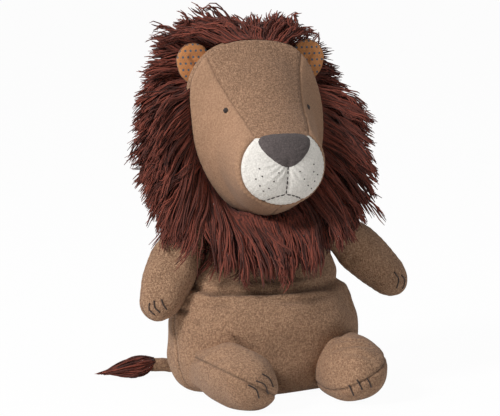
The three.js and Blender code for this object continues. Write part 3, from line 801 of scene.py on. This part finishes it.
# Claws: the stitches of each paw that the photograph shows, by their pixels
rightArm["claws"] = [
    [(149.5, 303), (149, 308.5), (155, 315)],
    [(154, 300.6), (154.6, 306.6), (160, 312.4)],
    [(161.3, 299.3), (163.2, 304.7), (166.7, 309.5)],
]
leftArm["claws"] = [[(401.2, 275), (404.6, 281), (402.3, 288.7)], [(394, 272), (398.5, 280), (396.5, 288)]]
rightLeg["claws"] = [
    [(256, 380.8), (264.3, 384.5), (268, 393.8)],
    [(248, 385), (256, 389.5), (259, 398)],
    [(262, 374), (269.5, 379), (273, 387)],
]
leftLeg["claws"] = [
    [(348.8, 385), (351.5, 390), (353.7, 395.3)],
    [(357, 379.6), (359.8, 384.4), (362, 389.5)],
    [(367, 378.3), (369.4, 382.6), (371.2, 387)],
]
clawRadius = 0.65


def buildLimb(name, form, panels):
    at, axes = np.array(form["at"]), axesOf(form["along"], form["across"])
    mesh, tree = seamedMesh(form, [(form["at"], axes[1])])
    points, normals, centres = readMesh(mesh)
    x, y, z = ((points - at) @ axes.T).T
    points, shade = stuffed(form, points, normals, tree, y, z + 0.4 * x)
    whole = treeOf(mesh, points)
    above = (centres - at) @ axes[1] >= 0
    for kept, panel, filling in ((above, panels[0], [f"{name}_stuffing"]), (~above, panels[1], [])):
        piece = panelFrom(f"{name}_{panel}", mesh, points, kept, clothBrown, shade)
        dress(piece, name, [f"{name}_{panel}_panel"] + filling)
    rows = []
    for pixels in form["claws"]:
        line = photoLine(pixels, whole, 9)
        outs = np.array([whole.find_nearest(Vector(p))[1] for p in line])
        rows.append(tubesAlong(line + outs * clawRadius * 0.4, clawRadius, 8))
    dress(tubesObject(f"{name}_claws", rows, threadClaw), name)
    return whole


rightArmTree = buildLimb("right_arm", rightArm, ("back", "front"))
leftArmTree = buildLimb("left_arm", leftArm, ("front", "back"))
buildLimb("right_leg", rightLeg, ("upper", "sole"))
buildLimb("left_leg", leftLeg, ("upper", "sole"))
print("limbs built")

# Head

head = {
    "at": (0, 60, 222),
    "along": (0, -1, 0),
    "across": (1, 0, 0),
    "length": 124,
    "width": 120,
    "depth": 148,
    "crownSquare": 2.5,
    "pearShare": 0.07,
    "startDrift": -0.015,
    "endDrift": -0.19,
    "faceSeamY": 7.9,
    "muzzleSeamY": -50,
    "muzzleTopZ": 219,
    "crownLean": 5.5,  # the filled head leans a little to its right
    "crownLeanZ": 205,
    "crownLeanOver": 65,
    "snoutLean": 2.6,
    "snoutLeanOver": 45,
    "shares": [
        [0.03, 0.33, 0.33, -0.015, 0],
        [0.1, 0.6, 0.6, -0.01, 0.3],
        [0.21, 0.82, 0.83, -0.005, 0.6],
        [0.33, 0.96, 0.965, 0, 1],
        [0.42, 1, 1, 0, 1],
        [0.515, 0.88, 0.915, -0.044, 0.3],
        [0.594, 0.76, 0.83, -0.074, 0.12],
        [0.657, 0.72, 0.745, -0.111, 0],
        [0.723, 0.7, 0.645, -0.145, 0],
        [0.84, 0.665, 0.5, -0.176, 0],
        [0.89, 0.62, 0.44, -0.187, 0],
        [0.95, 0.48, 0.35, -0.19, 0],
        [0.985, 0.27, 0.21, -0.19, 0],
    ],
    "rings": 230,
    "sides": 340,
    "seed": 21,
    "lumpMm": 48,
    "lumpHeight": 0.5,
    "seams": {  # depth, width, puff and pucker in mm, and the pucker's pitch
        "strip": (0.7, 0.8, 0.3, 0.1),
        "face": (1.6, 1.8, 0.4, 0.2),
        "muzzle": (1.3, 1.1, 0.7, 0.28, 4.2),
        "chin": (0.7, 1.0, 0.2, 0.1),
    },
    "fill": 0.9,
}
# The middle strip: half its width at the nose and the crown, with their heights
gusset = {"noseHalf": 23, "crownHalf": 44, "lowZ": 215, "crownZ": 288}


# A point on each seam of the middle strip, and the way from it into the strip
def gussetSeams():
    noseHalf, crownHalf = gusset["noseHalf"], gusset["crownHalf"]
    rise = gusset["crownZ"] - gusset["lowZ"]
    length = math.hypot(crownHalf - noseHalf, rise)
    normal = np.array([rise, 0, crownHalf - noseHalf]) / length
    seams = []
    for side in (-1, 1):
        inward = normal * (-side, 1, 1)
        seams.append((np.array([side * noseHalf, 0, gusset["lowZ"]]), inward))
    return seams


# Which faces of the head belong to which panel, by their centres
def headCut(seams, centres):
    x, y, z = centres.T
    inside = [(centres - place) @ inward for place, inward in seams]
    linen = (y <= head["muzzleSeamY"]) & (z <= head["muzzleTopZ"])
    face = (y < head["faceSeamY"]) & ~linen
    strip = face & (inside[0] > 0) & (inside[1] > 0) & (z > gusset["lowZ"])
    strip |= face & (y <= head["muzzleSeamY"])
    return {
        "head_back": y >= head["faceSeamY"],
        "muzzle": linen,
        "head_middle_strip": strip,
        "head_right_cheek": face & ~strip & (x < 0),
        "head_left_cheek": face & ~strip & (x >= 0),
    }


# How far the head's cloth moves out or in, and how dark each point is painted: painted shade in its seams
def headMoved(points, normals, seams):
    x, y, z = points.T
    sewn = head["seams"]
    moved = lumps(points, head)
    shade = np.zeros(len(points))
    face = (y > head["muzzleSeamY"] + 1) & (y < head["faceSeamY"]) & (z > gusset["lowZ"])
    for place, inward in seams:
        facing = np.sqrt(np.maximum(1 - (normals @ inward) ** 2, 0.1))
        distance = ((points - place) @ inward) / facing
        moved += np.where(face, seamDip(distance, z, *sewn["strip"]), 0)
        shade = np.maximum(shade, np.where(face, 0.5 * paintedSeamShade(distance, 0.6), 0))
    around = np.arctan2(z - head["at"][2], x) * 60
    slope = np.sqrt(np.maximum(1 - normals[:, 1] ** 2, 0.1))
    moved += seamDip((y - head["faceSeamY"]) / slope, around, *sewn["face"])
    below = np.clip((head["muzzleTopZ"] - z) / 3 + 0.5, 0, 1)
    moved += below * seamDip((y - head["muzzleSeamY"]) / slope, around, *sewn["muzzle"])
    chin = (z < gusset["lowZ"]) & (y > head["muzzleSeamY"]) & (y < head["faceSeamY"])
    moved += np.where(chin, seamDip(x, y, *sewn["chin"]), 0)
    for seamY, share in ((head["faceSeamY"], 1), (head["muzzleSeamY"], below)):
        shade = np.maximum(shade, share * paintedSeamShade((y - seamY) / slope))
    return moved, np.maximum(shade, np.where(chin, paintedSeamShade(x), 0))


# Linen drawn in by the hand stitches: a valley at the mouth line with a full cheek on either side
muzzle = {
    "valleyLowZ": 168,
    "valleyHighZ": 204,
    "valleyWidth": 3.2,
    "valleyDip": 1.3,
    "cheekX": 17,
    "cheekZ": 187,
    "cheekRise": 1.6,
    "lipZ": 170,
    "lipHalf": 19,
    "lipDip": 0.8,
    "fanZ": 206,  # the puckers fan out from here
    "puckers": 26,
    "puckerRise": 0.3,
    "puckerTopZ": 212,
}


def muzzleMoved(points):
    x, y, z = points.T
    off, rise = np.abs(x), z - muzzle["fanZ"]
    low, high = (z - muzzle["valleyLowZ"]) / 8, (muzzle["valleyHighZ"] - z) / 6
    valley = bell(x, muzzle["valleyWidth"]) * np.clip(low, 0, 1) * np.clip(high, 0, 1)
    cheeks = bell(off - muzzle["cheekX"], 11) * bell(z - muzzle["cheekZ"], 14)
    lip = bell(z - muzzle["lipZ"] + (x / 17) ** 2 * 4, 2.0) * (off < muzzle["lipHalf"])
    fan = np.hypot(off, rise)
    waves = np.sin(np.arctan2(rise, off + 3) * muzzle["puckers"] + 1.5 * np.sin(fan / 6))
    puckered = waves * bell(fan - 15, 9) * muzzle["puckerRise"] * (z < muzzle["puckerTopZ"])
    moved = muzzle["cheekRise"] * cheeks - muzzle["valleyDip"] * valley - muzzle["lipDip"] * lip
    return np.where(y < head["muzzleSeamY"], moved + puckered, 0)


def smoothStep(share):
    share = np.clip(share, 0, 1)
    return share * share * (3 - 2 * share)


# How far the head stands over to its right: its crown most, its snout a little
def headLean(points):
    rise = (points[:, 2] - head["crownLeanZ"]) / head["crownLeanOver"]
    crown = head["crownLean"] * smoothStep(rise)
    return np.maximum(crown, head["snoutLean"] * smoothStep(-points[:, 1] / head["snoutLeanOver"]))


def buildHead():
    seams = gussetSeams()
    planes = [((0, head[seam], 0), (0, 1, 0)) for seam in ("faceSeamY", "muzzleSeamY")]
    planes += [(tuple(place), tuple(inward)) for place, inward in seams] + [((0, 0, 0), (1, 0, 0))]
    planes += [((0, 0, cut), (0, 0, 1)) for cut in (gusset["lowZ"], head["muzzleTopZ"])]
    mesh, _ = seamedMesh(head, planes)
    points, normals, centres = readMesh(mesh)
    panels = headCut(seams, centres)
    moved, shade = headMoved(points, normals, seams)
    lean = headLean(points)
    points = points + normals * (moved + muzzleMoved(points))[:, None]
    points[:, 0] -= lean
    dressed = {
        "head_back": (clothBrown, "brown_cloth", ["head_back_panel", "head_stuffing"]),
        "muzzle": (clothMuzzle, "linen", ["muzzle_panel"]),
        "head_middle_strip": (clothGusset, "brown_cloth", ["head_centre_gusset"]),
        "head_right_cheek": (clothCheek, "brown_cloth", ["head_right_cheek"]),
        "head_left_cheek": (clothCheek, "brown_cloth", ["head_left_cheek"]),
    }
    for name, (material, slot, solids) in dressed.items():
        piece = panelFrom(name + "_cloth", mesh, points, panels[name], material, shade)
        dress(piece, "head", solids)
    return treeOf(mesh, points)


headTree = buildHead()
print("head built")


# The head's surface straight behind a place in the front view, in mm
def headFront(x, z):
    hit, normal = headTree.ray_cast(Vector((x - head["snoutLean"], -200, z)), Vector((0, 1, 0)))[:2]
    return np.array(hit), np.array(normal)


# Nose: half its outline from the head's middle height, x and z, in mm
nose = {
    "outline": [
        (0, 0.8), (11.4, 0.4), (19.9, -1.4), (24.2, -4.8), (23, -10.5),
        (18.7, -16.5), (12, -22.5), (5.7, -26.3), (0, -28),
    ],
    "middle": (0, -11),
    "rings": 26,
    "sides": 120,
    "thick": 1.3,
    "edgeSunk": 0.5,
    "fill": 0.9,
}


def buildNose():
    half = np.array(nose["outline"], float)
    whole = np.vstack([half, (half * (-1, 1))[-2:0:-1], half[:1]])
    run = runAlong(whole)
    at = np.linspace(0, run[-1], nose["sides"], endpoint=False)
    outline = np.stack([np.interp(at, run, whole[:, k]) for k in (0, 1)], -1)
    for _ in range(3):
        outline = (np.roll(outline, 1, 0) + 2 * outline + np.roll(outline, -1, 0)) / 4
    middle = np.array(nose["middle"], float)
    points = []
    for ring in range(nose["rings"] + 1):
        share = ring / nose["rings"]
        height = nose["thick"] * (1 - share**8) - nose["edgeSunk"] * share**8
        for x, z in middle + (outline - middle) * max(share, 0.004):
            hit, normal = headFront(x, z + head["at"][2])
            points.append(hit + normal * height)
    quads, start, _ = ringFaces(nose["rings"] + 1, nose["sides"])
    corners = np.concatenate([quads.ravel(), start])
    totals = np.append(np.full(len(quads), 4), nose["sides"])
    piece = makeObject("nose", points, corners, totals, clothNose)
    dress(piece, "head", ["nose_panel"])


buildNose()

# Eyes and mouth: hand embroidery
eye = {"x": 37.5, "z": 239.3, "width": 4.3, "height": 5.2, "strands": 7, "rise": 0.9}
mouth = {
    "middle": [(0, 196.5), (0, 184), (0, 172)],
    "arc": [(0.6, 172), (5, 171.3), (10, 169.6), (14, 168), (17.5, 166.6)],
    "stitchMm": 3.6,
    "gapMm": 0.35,
    "radius": 0.55,
}
# Whisker dots by their pixels, the right side's first
whiskers = {
    "pixels": [
        (259.4, 168.8), (262.2, 176.3), (255.8, 179.1), (278.8, 172.9),
        (273.9, 181.6), (259.9, 185.8), (268.8, 188.3), (263.5, 191.1),
        (313.7, 164.3), (300, 171.6), (313.7, 171.8), (317.5, 174.6),
        (304.3, 179.1), (314.6, 181.1), (308, 185.4), (311.3, 188.4),
    ],
    "radius": 0.75,
}


def buildFace():
    for name, side in (("right_eye", -1), ("left_eye", 1)):
        tubes = []
        middle, out = headFront(side * eye["x"], eye["z"])
        up = unit(np.array([0, 0, 1]) - out * out[2])
        across = np.cross(up, out)
        for i in range(eye["strands"]):
            t = (i + 0.5) / eye["strands"] * 2 - 1
            full = math.sqrt(1 - t * t)
            half = up * (eye["height"] / 2 * full)
            foot = middle + across * t * eye["width"] / 2
            radius = eye["width"] / eye["strands"] * 0.62
            tubes.append(stitch(foot - half, foot + half, out, radius, eye["rise"] * full))
        dress(tubesObject(f"{name}_stitches", tubes, threadDark), "head", [name])
    lines = [smoothLine([headFront(x, z)[0] for x, z in mouth["middle"]])]
    for side in (-1, 1):
        lines.append(smoothLine([headFront(side * x, z)[0] for x, z in mouth["arc"]]))
    rows = []
    for line in lines:
        rows += stitchRow(line, headTree, mouth["radius"], mouth["stitchMm"], mouth["gapMm"])
    dress(tubesObject("mouth_stitches", rows, threadDark), "head", ["mouth_stitch"])
    dots = []
    for pixel in whiskers["pixels"]:
        place = surfaceAt(pixel, headTree)
        out = np.array(headTree.find_nearest(Vector(place))[1])
        reach = unit(np.cross(out, (0, 0, 1))) * (whiskers["radius"] * 0.7)
        dots.append(stitch(place - reach, place + reach, out, whiskers["radius"] * 0.8, 0.1))
    dress(tubesObject("whisker_dots", dots, threadDark), "head")


buildFace()
print("face stitched")

# Ears
ear = {
    "length": 39,
    "width": 32,
    "depth": 8,
    "foot": (43, 24, 256),
    "lean": 0.42,
    "back": 0.04,
    "shares": [
        [0.04, 0.4, 0.5, 0],
        [0.2, 0.75, 0.9, 0],
        [0.5, 1, 1, 0],
        [0.76, 0.9, 0.9, 0],
        [0.92, 0.58, 0.6, 0],
    ],
    "rings": 70,
    "sides": 110,
    "cup": 2.4,
    "cupZ": 24,
    "cupHalf": (15.5, 20),
    "seam": (0.7, 0.8, 0.25, 0.12, 5.0),
    "pleat": 2.6,
    "pleatLine": [(0, 4), (-1.0, 16), (1.5, 27)],  # across and up
}


def buildEar(name, side):
    x, y, z = ear["foot"]
    form = dict(ear, at=(side * x, y, z), along=(side * ear["lean"], ear["back"], 1), across=(1, 0, 0))
    at, axes = np.array(form["at"]), axesOf(form["along"], form["across"])
    mesh, _ = seamedMesh(form, [(form["at"], axes[1])])
    points, normals, centres = readMesh(mesh)
    local = (points - at) @ axes.T
    across, through, along = local.T
    front = through < 0
    wide, high = across / ear["cupHalf"][0], (along - ear["cupZ"]) / ear["cupHalf"][1]
    hollow = np.exp(-1.6 * (wide**2 + high**2))
    line = smoothLine([(side * off, -4, up) for off, up in ear["pleatLine"]], 12)
    distance, run = lineDistance(local, line)
    pleat = 1.2 * bell(distance - 4, 2) - ear["pleat"] * np.exp(-np.abs(distance / 1.7) ** 1.3)
    moved = front * (pleat * np.clip(1.3 - run, 0, 1) - ear["cup"] * hollow)
    moved += seamDip(through, along + across, *ear["seam"])
    points = points + normals * moved[:, None]
    inFront = (centres - at) @ axes[1] < 0
    lining = panelFrom(f"{name}_lining_cloth", mesh, points, inFront, clothDotted)
    back = panelFrom(f"{name}_back_cloth", mesh, points, ~inFront, clothBrown)
    dress(lining, "head", [f"{name}_lining"])
    dress(back, "head", [f"{name}_back"])


buildEar("right_ear", -1)
buildEar("left_ear", 1)
print("ears built")

# Tail
tail = {
    "points": [(0, 57, 15), (-20, 77, 11.5), (-46, 80, 8.5), (-72, 80, 10.5)],
    "radius": 6,
    "rings": 90,
    "sides": 40,
    "seed": 31,
    "lumpMm": 14,
    "lumpHeight": 0.35,
    "seam": (0.6, 0.9, 0.1, 0.1),
    "fill": 0.8,
}


def buildTail():
    line = smoothLine(tail["points"], tail["rings"])
    taper = np.ones(tail["rings"])
    taper[:3] = (0.3, 0.75, 0.95)
    taper[-3:] = (1.04, 0.9, 0.45)
    tube = tubesAlong(line, tail["radius"] * taper, tail["sides"])
    points = tube.reshape(-1, 3)
    out = unit(points - np.repeat(line, tail["sides"], axis=0))
    seamward = out[:, 2] * tail["radius"] + 5.2  # the seam runs along the tube's underside
    moved = lumps(points, tail) + seamDip(seamward, points[:, 0], *tail["seam"])
    tube = (points + out * moved[:, None]).reshape(tube.shape)
    piece = tubesObject("tail_tube", [tube], clothBrown)
    dress(piece, "tail", ["tail_cover"])


buildTail()
print("tail built")

# Mane: fringe tapes sewn round the head in rows, from the face seam back. A tape's order is its
# place between the rows, and the last ones lie over the back of the head, at a distance from its middle.
mane = {
    "reach": 129,
    "nape": 100,
    "reachShares": [
        0.83, 0.815, 0.8, 0.82, 0.8, 0.81, 0.76, 0.7, 0.765, 0.815, 0.865, 0.87, 0.825, 0.82,
        0.84, 0.84, 0.93, 1.03, 1.09, 1.07, 1.02, 0.985, 0.965, 0.94, 0.945, 0.965, 0.935, 0.85,
    ],
    "rootShares": [0.93, 0.9, 0.78, 0.58],
    "bends": [0, 0.38, 0.72, 1],  # from a row's root to its tips
    "bibY": [7.9, -48, -64, -65],  # where the row under the chin lies at its bends
    "bibShares": [1, 0.55, 0.2, 0],  # how far each row takes part in that
    "sideShares": [0.94, 1, 0.98, 0.88],  # each row's reach at the sides
    "faceY": 7.9,
    "rootStep": 13,
    "tipFront": -10,
    "tipStep": 21.3,
    "crownLean": 24,
    "backY": 79,
    "backShares": [[0, 1], [0.4, 0.96], [0.78, 0.68], [1, 0]],  # how far in, how far back
    "tapes": {
        "mane_face_row": [0.04, 0.3, 0.62],
        "mane_second_row": [1.03, 1.35, 1.7],
        "mane_third_row": [2.05, 2.45, 2.8],
        "mane_back_rows": [3.05],
    },
    "backTapes": [44, 33, 21, 10, 2],
    "backLength": 58,
    "locks": 46,
    "strands": 3,  # finer locks in a lock
    "ends": 7,  # yarns in each
    "yarnMm": 1.15,
    "steps": 11,
    "sides": 4,
    "droop": 21,
    "flop": 12,
    "layerMm": 2.4,
    "arch": 5,
    "waveMm": 1.25,
    "lowZ": 185,  # below this height the yarn can meet the body
    "looseShare": 0.05,  # strands that stand out of the rest, wavy and longer
    "looseReach": 0.07,
    "looseWaves": 3.0,
    "lockLean": 0.08,  # how unevenly locks and strands turn aside, in radians
    "strandLean": 0.035,
    "gather": 0.5,  # how far the tips of a lock come together
    "strandShort": 0.05,  # how unevenly strands and their ends are cut
    "endShort": 0.035,
    "tipScatter": 1.0,
    "sewnShare": 0.22,
    "backSunk": 14,
    "bodyRoom": 1.0,  # yarn keeps this far from the body, and is pushed out from this deep in it
    "bodyDepth": 22,
    "headDepth": 14,
    "seed": 41,
}


# Where a tape is sewn on: the head's surface all round at one place from front to back
def tapeRoots(y, angles):
    middle = np.array([0, y, head["at"][2]])
    roots = []
    for angle in angles:
        way = np.array([math.cos(angle), 0, math.sin(angle)])
        hit = headTree.ray_cast(Vector(middle + way * 200), Vector(-way))[0]
        roots.append(np.linalg.norm(np.array(hit) - middle) - 1.5 if hit else 4.0)
    return np.array(roots)


def rowValue(order, values):
    return np.interp(order, range(4), values)


# How far the tips of a tape reach at each angle
def reachAt(angles, order):
    shares = np.array(mane["reachShares"] + mane["reachShares"][:1])
    share = np.interp(angles % (2 * np.pi), np.linspace(0, 2 * np.pi, len(shares)), shares)
    hang = np.maximum(0, -np.sin(angles)) ** 2
    low = mane["nape"] + (mane["reach"] - mane["nape"]) * rowValue(order, mane["bibShares"])
    return share * (mane["reach"] * rowValue(order, mane["sideShares"]) * (1 - hang) + low * hang)


# How far front to back a tape's yarn lies, at an angle and a distance from the head's middle line
def layerAt(angles, distance, order):
    up = np.maximum(0, np.sin(angles))
    down = np.maximum(0, -np.sin(angles)) ** 2 * rowValue(order, mane["bibShares"])
    headR = 0.5 / np.hypot(np.cos(angles) / head["width"], np.sin(angles) / head["depth"])
    rootR = rowValue(order, mane["rootShares"]) * headR
    share = (distance - rootR) / (reachAt(angles, order) - rootR)
    rootY = mane["faceY"] + order * mane["rootStep"]
    tipY = mane["tipFront"] + order * mane["tipStep"] + mane["crownLean"] * up
    y = rootY + (tipY - rootY) * np.clip(share, 0, 1.1)
    return y + (np.interp(share, mane["bends"], mane["bibY"]) - y) * down


# How far back the yarn over the back of the head lies
def backAt(angles, distance):
    tipY = layerAt(angles, reachAt(angles, 3), 3)
    shares = np.array(mane["backShares"], float)
    depth = np.interp(distance / reachAt(angles, 3), shares[:, 0], shares[:, 1])
    return tipY + (mane["backY"] - tipY) * depth


# Yarns of a tape as lines: evenly along the tape, drawn together in locks and drooping to their tips
def tapeYarns(order, source, backR=None):
    crowd = 1 if backR is None else np.clip(backR / 60, 0.3, 1)
    locks = int(mane["locks"] * crowd)
    strands = locks * mane["strands"]
    count = strands * mane["ends"]
    strand = np.repeat(np.arange(strands), mane["ends"])
    lock = strand // mane["strands"]
    turn = 2 * np.pi / locks

    def drooped(angles):
        steep = np.sign(np.cos(angles)) * np.abs(np.cos(angles)) ** 0.7
        return angles - steep * math.radians(mane["droop"]) * (1 + 0.6 * np.maximum(0, np.sin(angles)))

    rootAngle = (np.arange(count) + source.normal(0, 1.5, count)) / count * 2 * np.pi
    lean = source.normal(0, mane["lockLean"], locks)[lock]
    lean = lean + source.normal(0, mane["strandLean"], strands)[strand]
    tipAngle = drooped(rootAngle) + lean
    gathered = drooped((lock + 0.5) * turn) + lean
    tipAngle += (gathered - tipAngle) * mane["gather"] + source.normal(0, 0.012, count)
    short = np.abs(source.normal(0, mane["strandShort"], strands))[strand]
    short = short + np.abs(source.normal(0, mane["endShort"], count))
    loose = (source.uniform(size=strands) < mane["looseShare"])[strand]
    short -= loose * mane["looseReach"]
    if backR is None:
        rootY = mane["faceY"] + order * mane["rootStep"]
        base = np.linspace(0, 2 * np.pi, 121)
        rootR = np.interp(rootAngle % (2 * np.pi), base, tapeRoots(rootY, base))
        tipR = reachAt(tipAngle, order) * (1 - short)
    else:
        rootR = np.full(count, float(backR))
        tipR = np.minimum(backR + mane["backLength"], reachAt(tipAngle, 3) * 0.97) * (1 - short)
    t = np.linspace(0, 1, mane["steps"] + 1)[None]
    late = t[..., None]
    way = np.stack([np.cos(rootAngle), np.sin(rootAngle)], -1)
    start = way * rootR[:, None]
    end = np.stack([np.cos(tipAngle), np.sin(tipAngle)], -1) * tipR[:, None]
    middle = (start + end) / 2 + way * mane["arch"] + np.array([0, 0.6 * mane["arch"]])
    start, middle, end = (p[:, None] for p in (start, middle, end))
    flat = (1 - late) ** 2 * start + 2 * (late * (1 - late)) * middle + late**2 * end
    wave = source.uniform(0, 2 * np.pi, (strands, 1, 3))[strand]
    own = source.uniform(0, 2 * np.pi, (count, 1, 3))
    shift = (np.sin(late * 7 + wave) + np.sin(late * 15 + own) * 0.4) * mane["waveMm"]
    shift *= 1 + (mane["looseWaves"] - 1) * loose[:, None, None]
    shift += source.normal(0, mane["tipScatter"], (count, 1, 3)) * late**3
    shift *= np.minimum(late * 2, 1)
    flat = flat + shift[..., [0, 2]]
    distance = np.linalg.norm(flat, axis=2)
    angles = np.arctan2(flat[..., 1], flat[..., 0])
    depth = np.abs(source.normal(0, mane["layerMm"], count))[:, None] * np.minimum(t * 3, 1)
    if backR is None:
        y = layerAt(angles, distance, order) + depth
        y += mane["flop"] * (1 - order / 3) * np.maximum(0, np.sin(angles)) * t**2
    else:
        y = backAt(angles, distance) - depth
        rootY = y[:, :1] - mane["backSunk"]
    y = rootY + (y - rootY) * smoothStep(t / mane["sewnShare"]) + shift[..., 1]
    return np.stack([flat[..., 0], y, flat[..., 1] + head["at"][2]], -1)


# The yarn is parted at the ears, which stand in front of the second row
def partedAtEars(lines):
    x, y, z = ear["foot"]
    rise = ear["length"] / 2
    inWay = np.zeros(len(lines), bool)
    for side in (-1, 1):
        middle = np.array([side * (x + ear["lean"] * rise), z + rise])
        near = np.linalg.norm(lines[..., [0, 2]] - middle, axis=2) < ear["width"] * 0.6 + 2
        inWay |= np.any(near & (lines[..., 1] < y + 0.7 * ear["depth"]), axis=1)
    return lines[~inWay]


# Where the head and the arms are when the yarn is pushed out of the body: turn, nod and swing, in degrees.
# Between these, and at its roots, yarn can still touch.
neckPivot = (0, 8, 158)
reachedPoses = [(-12, -5, -30), (12, 8, 30), (-12, 0, 0), (12, 0, 0), (0, -5, 0), (0, 8, 0), (0, 0, 0)]
bodyTrees = [(torsoTree, None), (rightArmTree, (-64, 2, 138)), (leftArmTree, (64, 2, 138))]


def aboutPivot(at, axis, degrees):
    place = Matrix.Translation(at)
    return place @ Matrix.Rotation(math.radians(degrees), 4, axis) @ place.inverted()


def movedBy(points, matrix):
    values = np.array(matrix)
    return points @ values[:3, :3].T + values[:3, 3]


def pushedOut(points, tree, room, depth):
    for i, point in enumerate(points):
        near, normal = tree.find_nearest(Vector(point), depth)[:2]
        if near is not None and (Vector(point) - near).dot(normal) < room:
            points[i] = near + normal * room
    return points


def clearOfBody(lines, room):
    points = lines.reshape(-1, 3)
    low = np.flatnonzero(points[:, 2] < mane["lowZ"])
    for turn, nod, swing in reachedPoses:
        pose = aboutPivot(neckPivot, "Z", turn) @ aboutPivot(neckPivot, "X", nod)
        for tree, pivot in bodyTrees:
            seen = aboutPivot(pivot, "X", swing).inverted() @ pose if pivot else pose
            moved = pushedOut(movedBy(points[low], seen), tree, room, mane["bodyDepth"])
            points[low] = movedBy(moved, seen.inverted())
    return pushedOut(points, headTree, room, mane["headDepth"]).reshape(lines.shape)


def yarnObject(name, lines, sides, source):
    taper = np.ones(lines.shape[1])
    taper[-2:] = (0.85, 0.4)
    radii = mane["yarnMm"] / 2 * taper * source.uniform(0.8, 1.15, len(lines))[:, None]
    return tubesObject(name, tubesAlong(lines, radii, sides, yarnUp), yarnFringe)


def buildMane():
    source = np.random.default_rng(mane["seed"])
    for node, tapes in mane["tapes"].items():
        lines = [tapeYarns(order, source) for order in tapes]
        if node == "mane_back_rows":
            lines += [tapeYarns(3, source, backR) for backR in mane["backTapes"]]
        lines = clearOfBody(partedAtEars(np.vstack(lines)), mane["bodyRoom"])
        piece = yarnObject(node + "_yarn", lines, mane["sides"], source)
        dress(piece, "head", [node])
        print(node, len(lines), "yarns")


buildMane()

# Tail tuft: a bunch of the same yarn
tuft = {
    "at": (-69, 80, 12.5),
    "length": 52,
    "spread": 10,
    "droop": 6,
    "yarns": 300,
    "steps": 9,
    "sides": 5,
    "seed": 43,
}


def buildTuft():
    source = np.random.default_rng(tuft["seed"])
    count = tuft["yarns"]
    turn = source.uniform(0, 2 * np.pi, count)
    share = np.sqrt(source.uniform(0, 1, count))
    length = tuft["length"] * source.uniform(0.72, 1.06, count) * (1.02 - 0.18 * share)
    t = np.linspace(0, 1, tuft["steps"] + 1)[None, :]
    belly = (0.45 + 0.75 * np.sin(np.pi * np.minimum(t * 1.15, 1)) - 0.25 * t) * tuft["spread"]
    off = belly * share[:, None]
    kink = np.sin(t * 9 + source.uniform(0, 6.3, (count, 1))) * 0.7
    x = tuft["at"][0] - t * length[:, None]
    y = tuft["at"][1] + off * np.cos(turn)[:, None] + kink - 2.5 * t**2
    z = tuft["at"][2] + off * np.sin(turn)[:, None] * 0.85 + kink[:, ::-1] * 0.5 - tuft["droop"] * t
    lines = np.stack([x, y, np.maximum(z, 1.0)], -1)
    dress(yarnObject("tail_tuft_yarn", lines, tuft["sides"], source), "tail", ["tail_tuft"])


buildTuft()
print("yarn built")
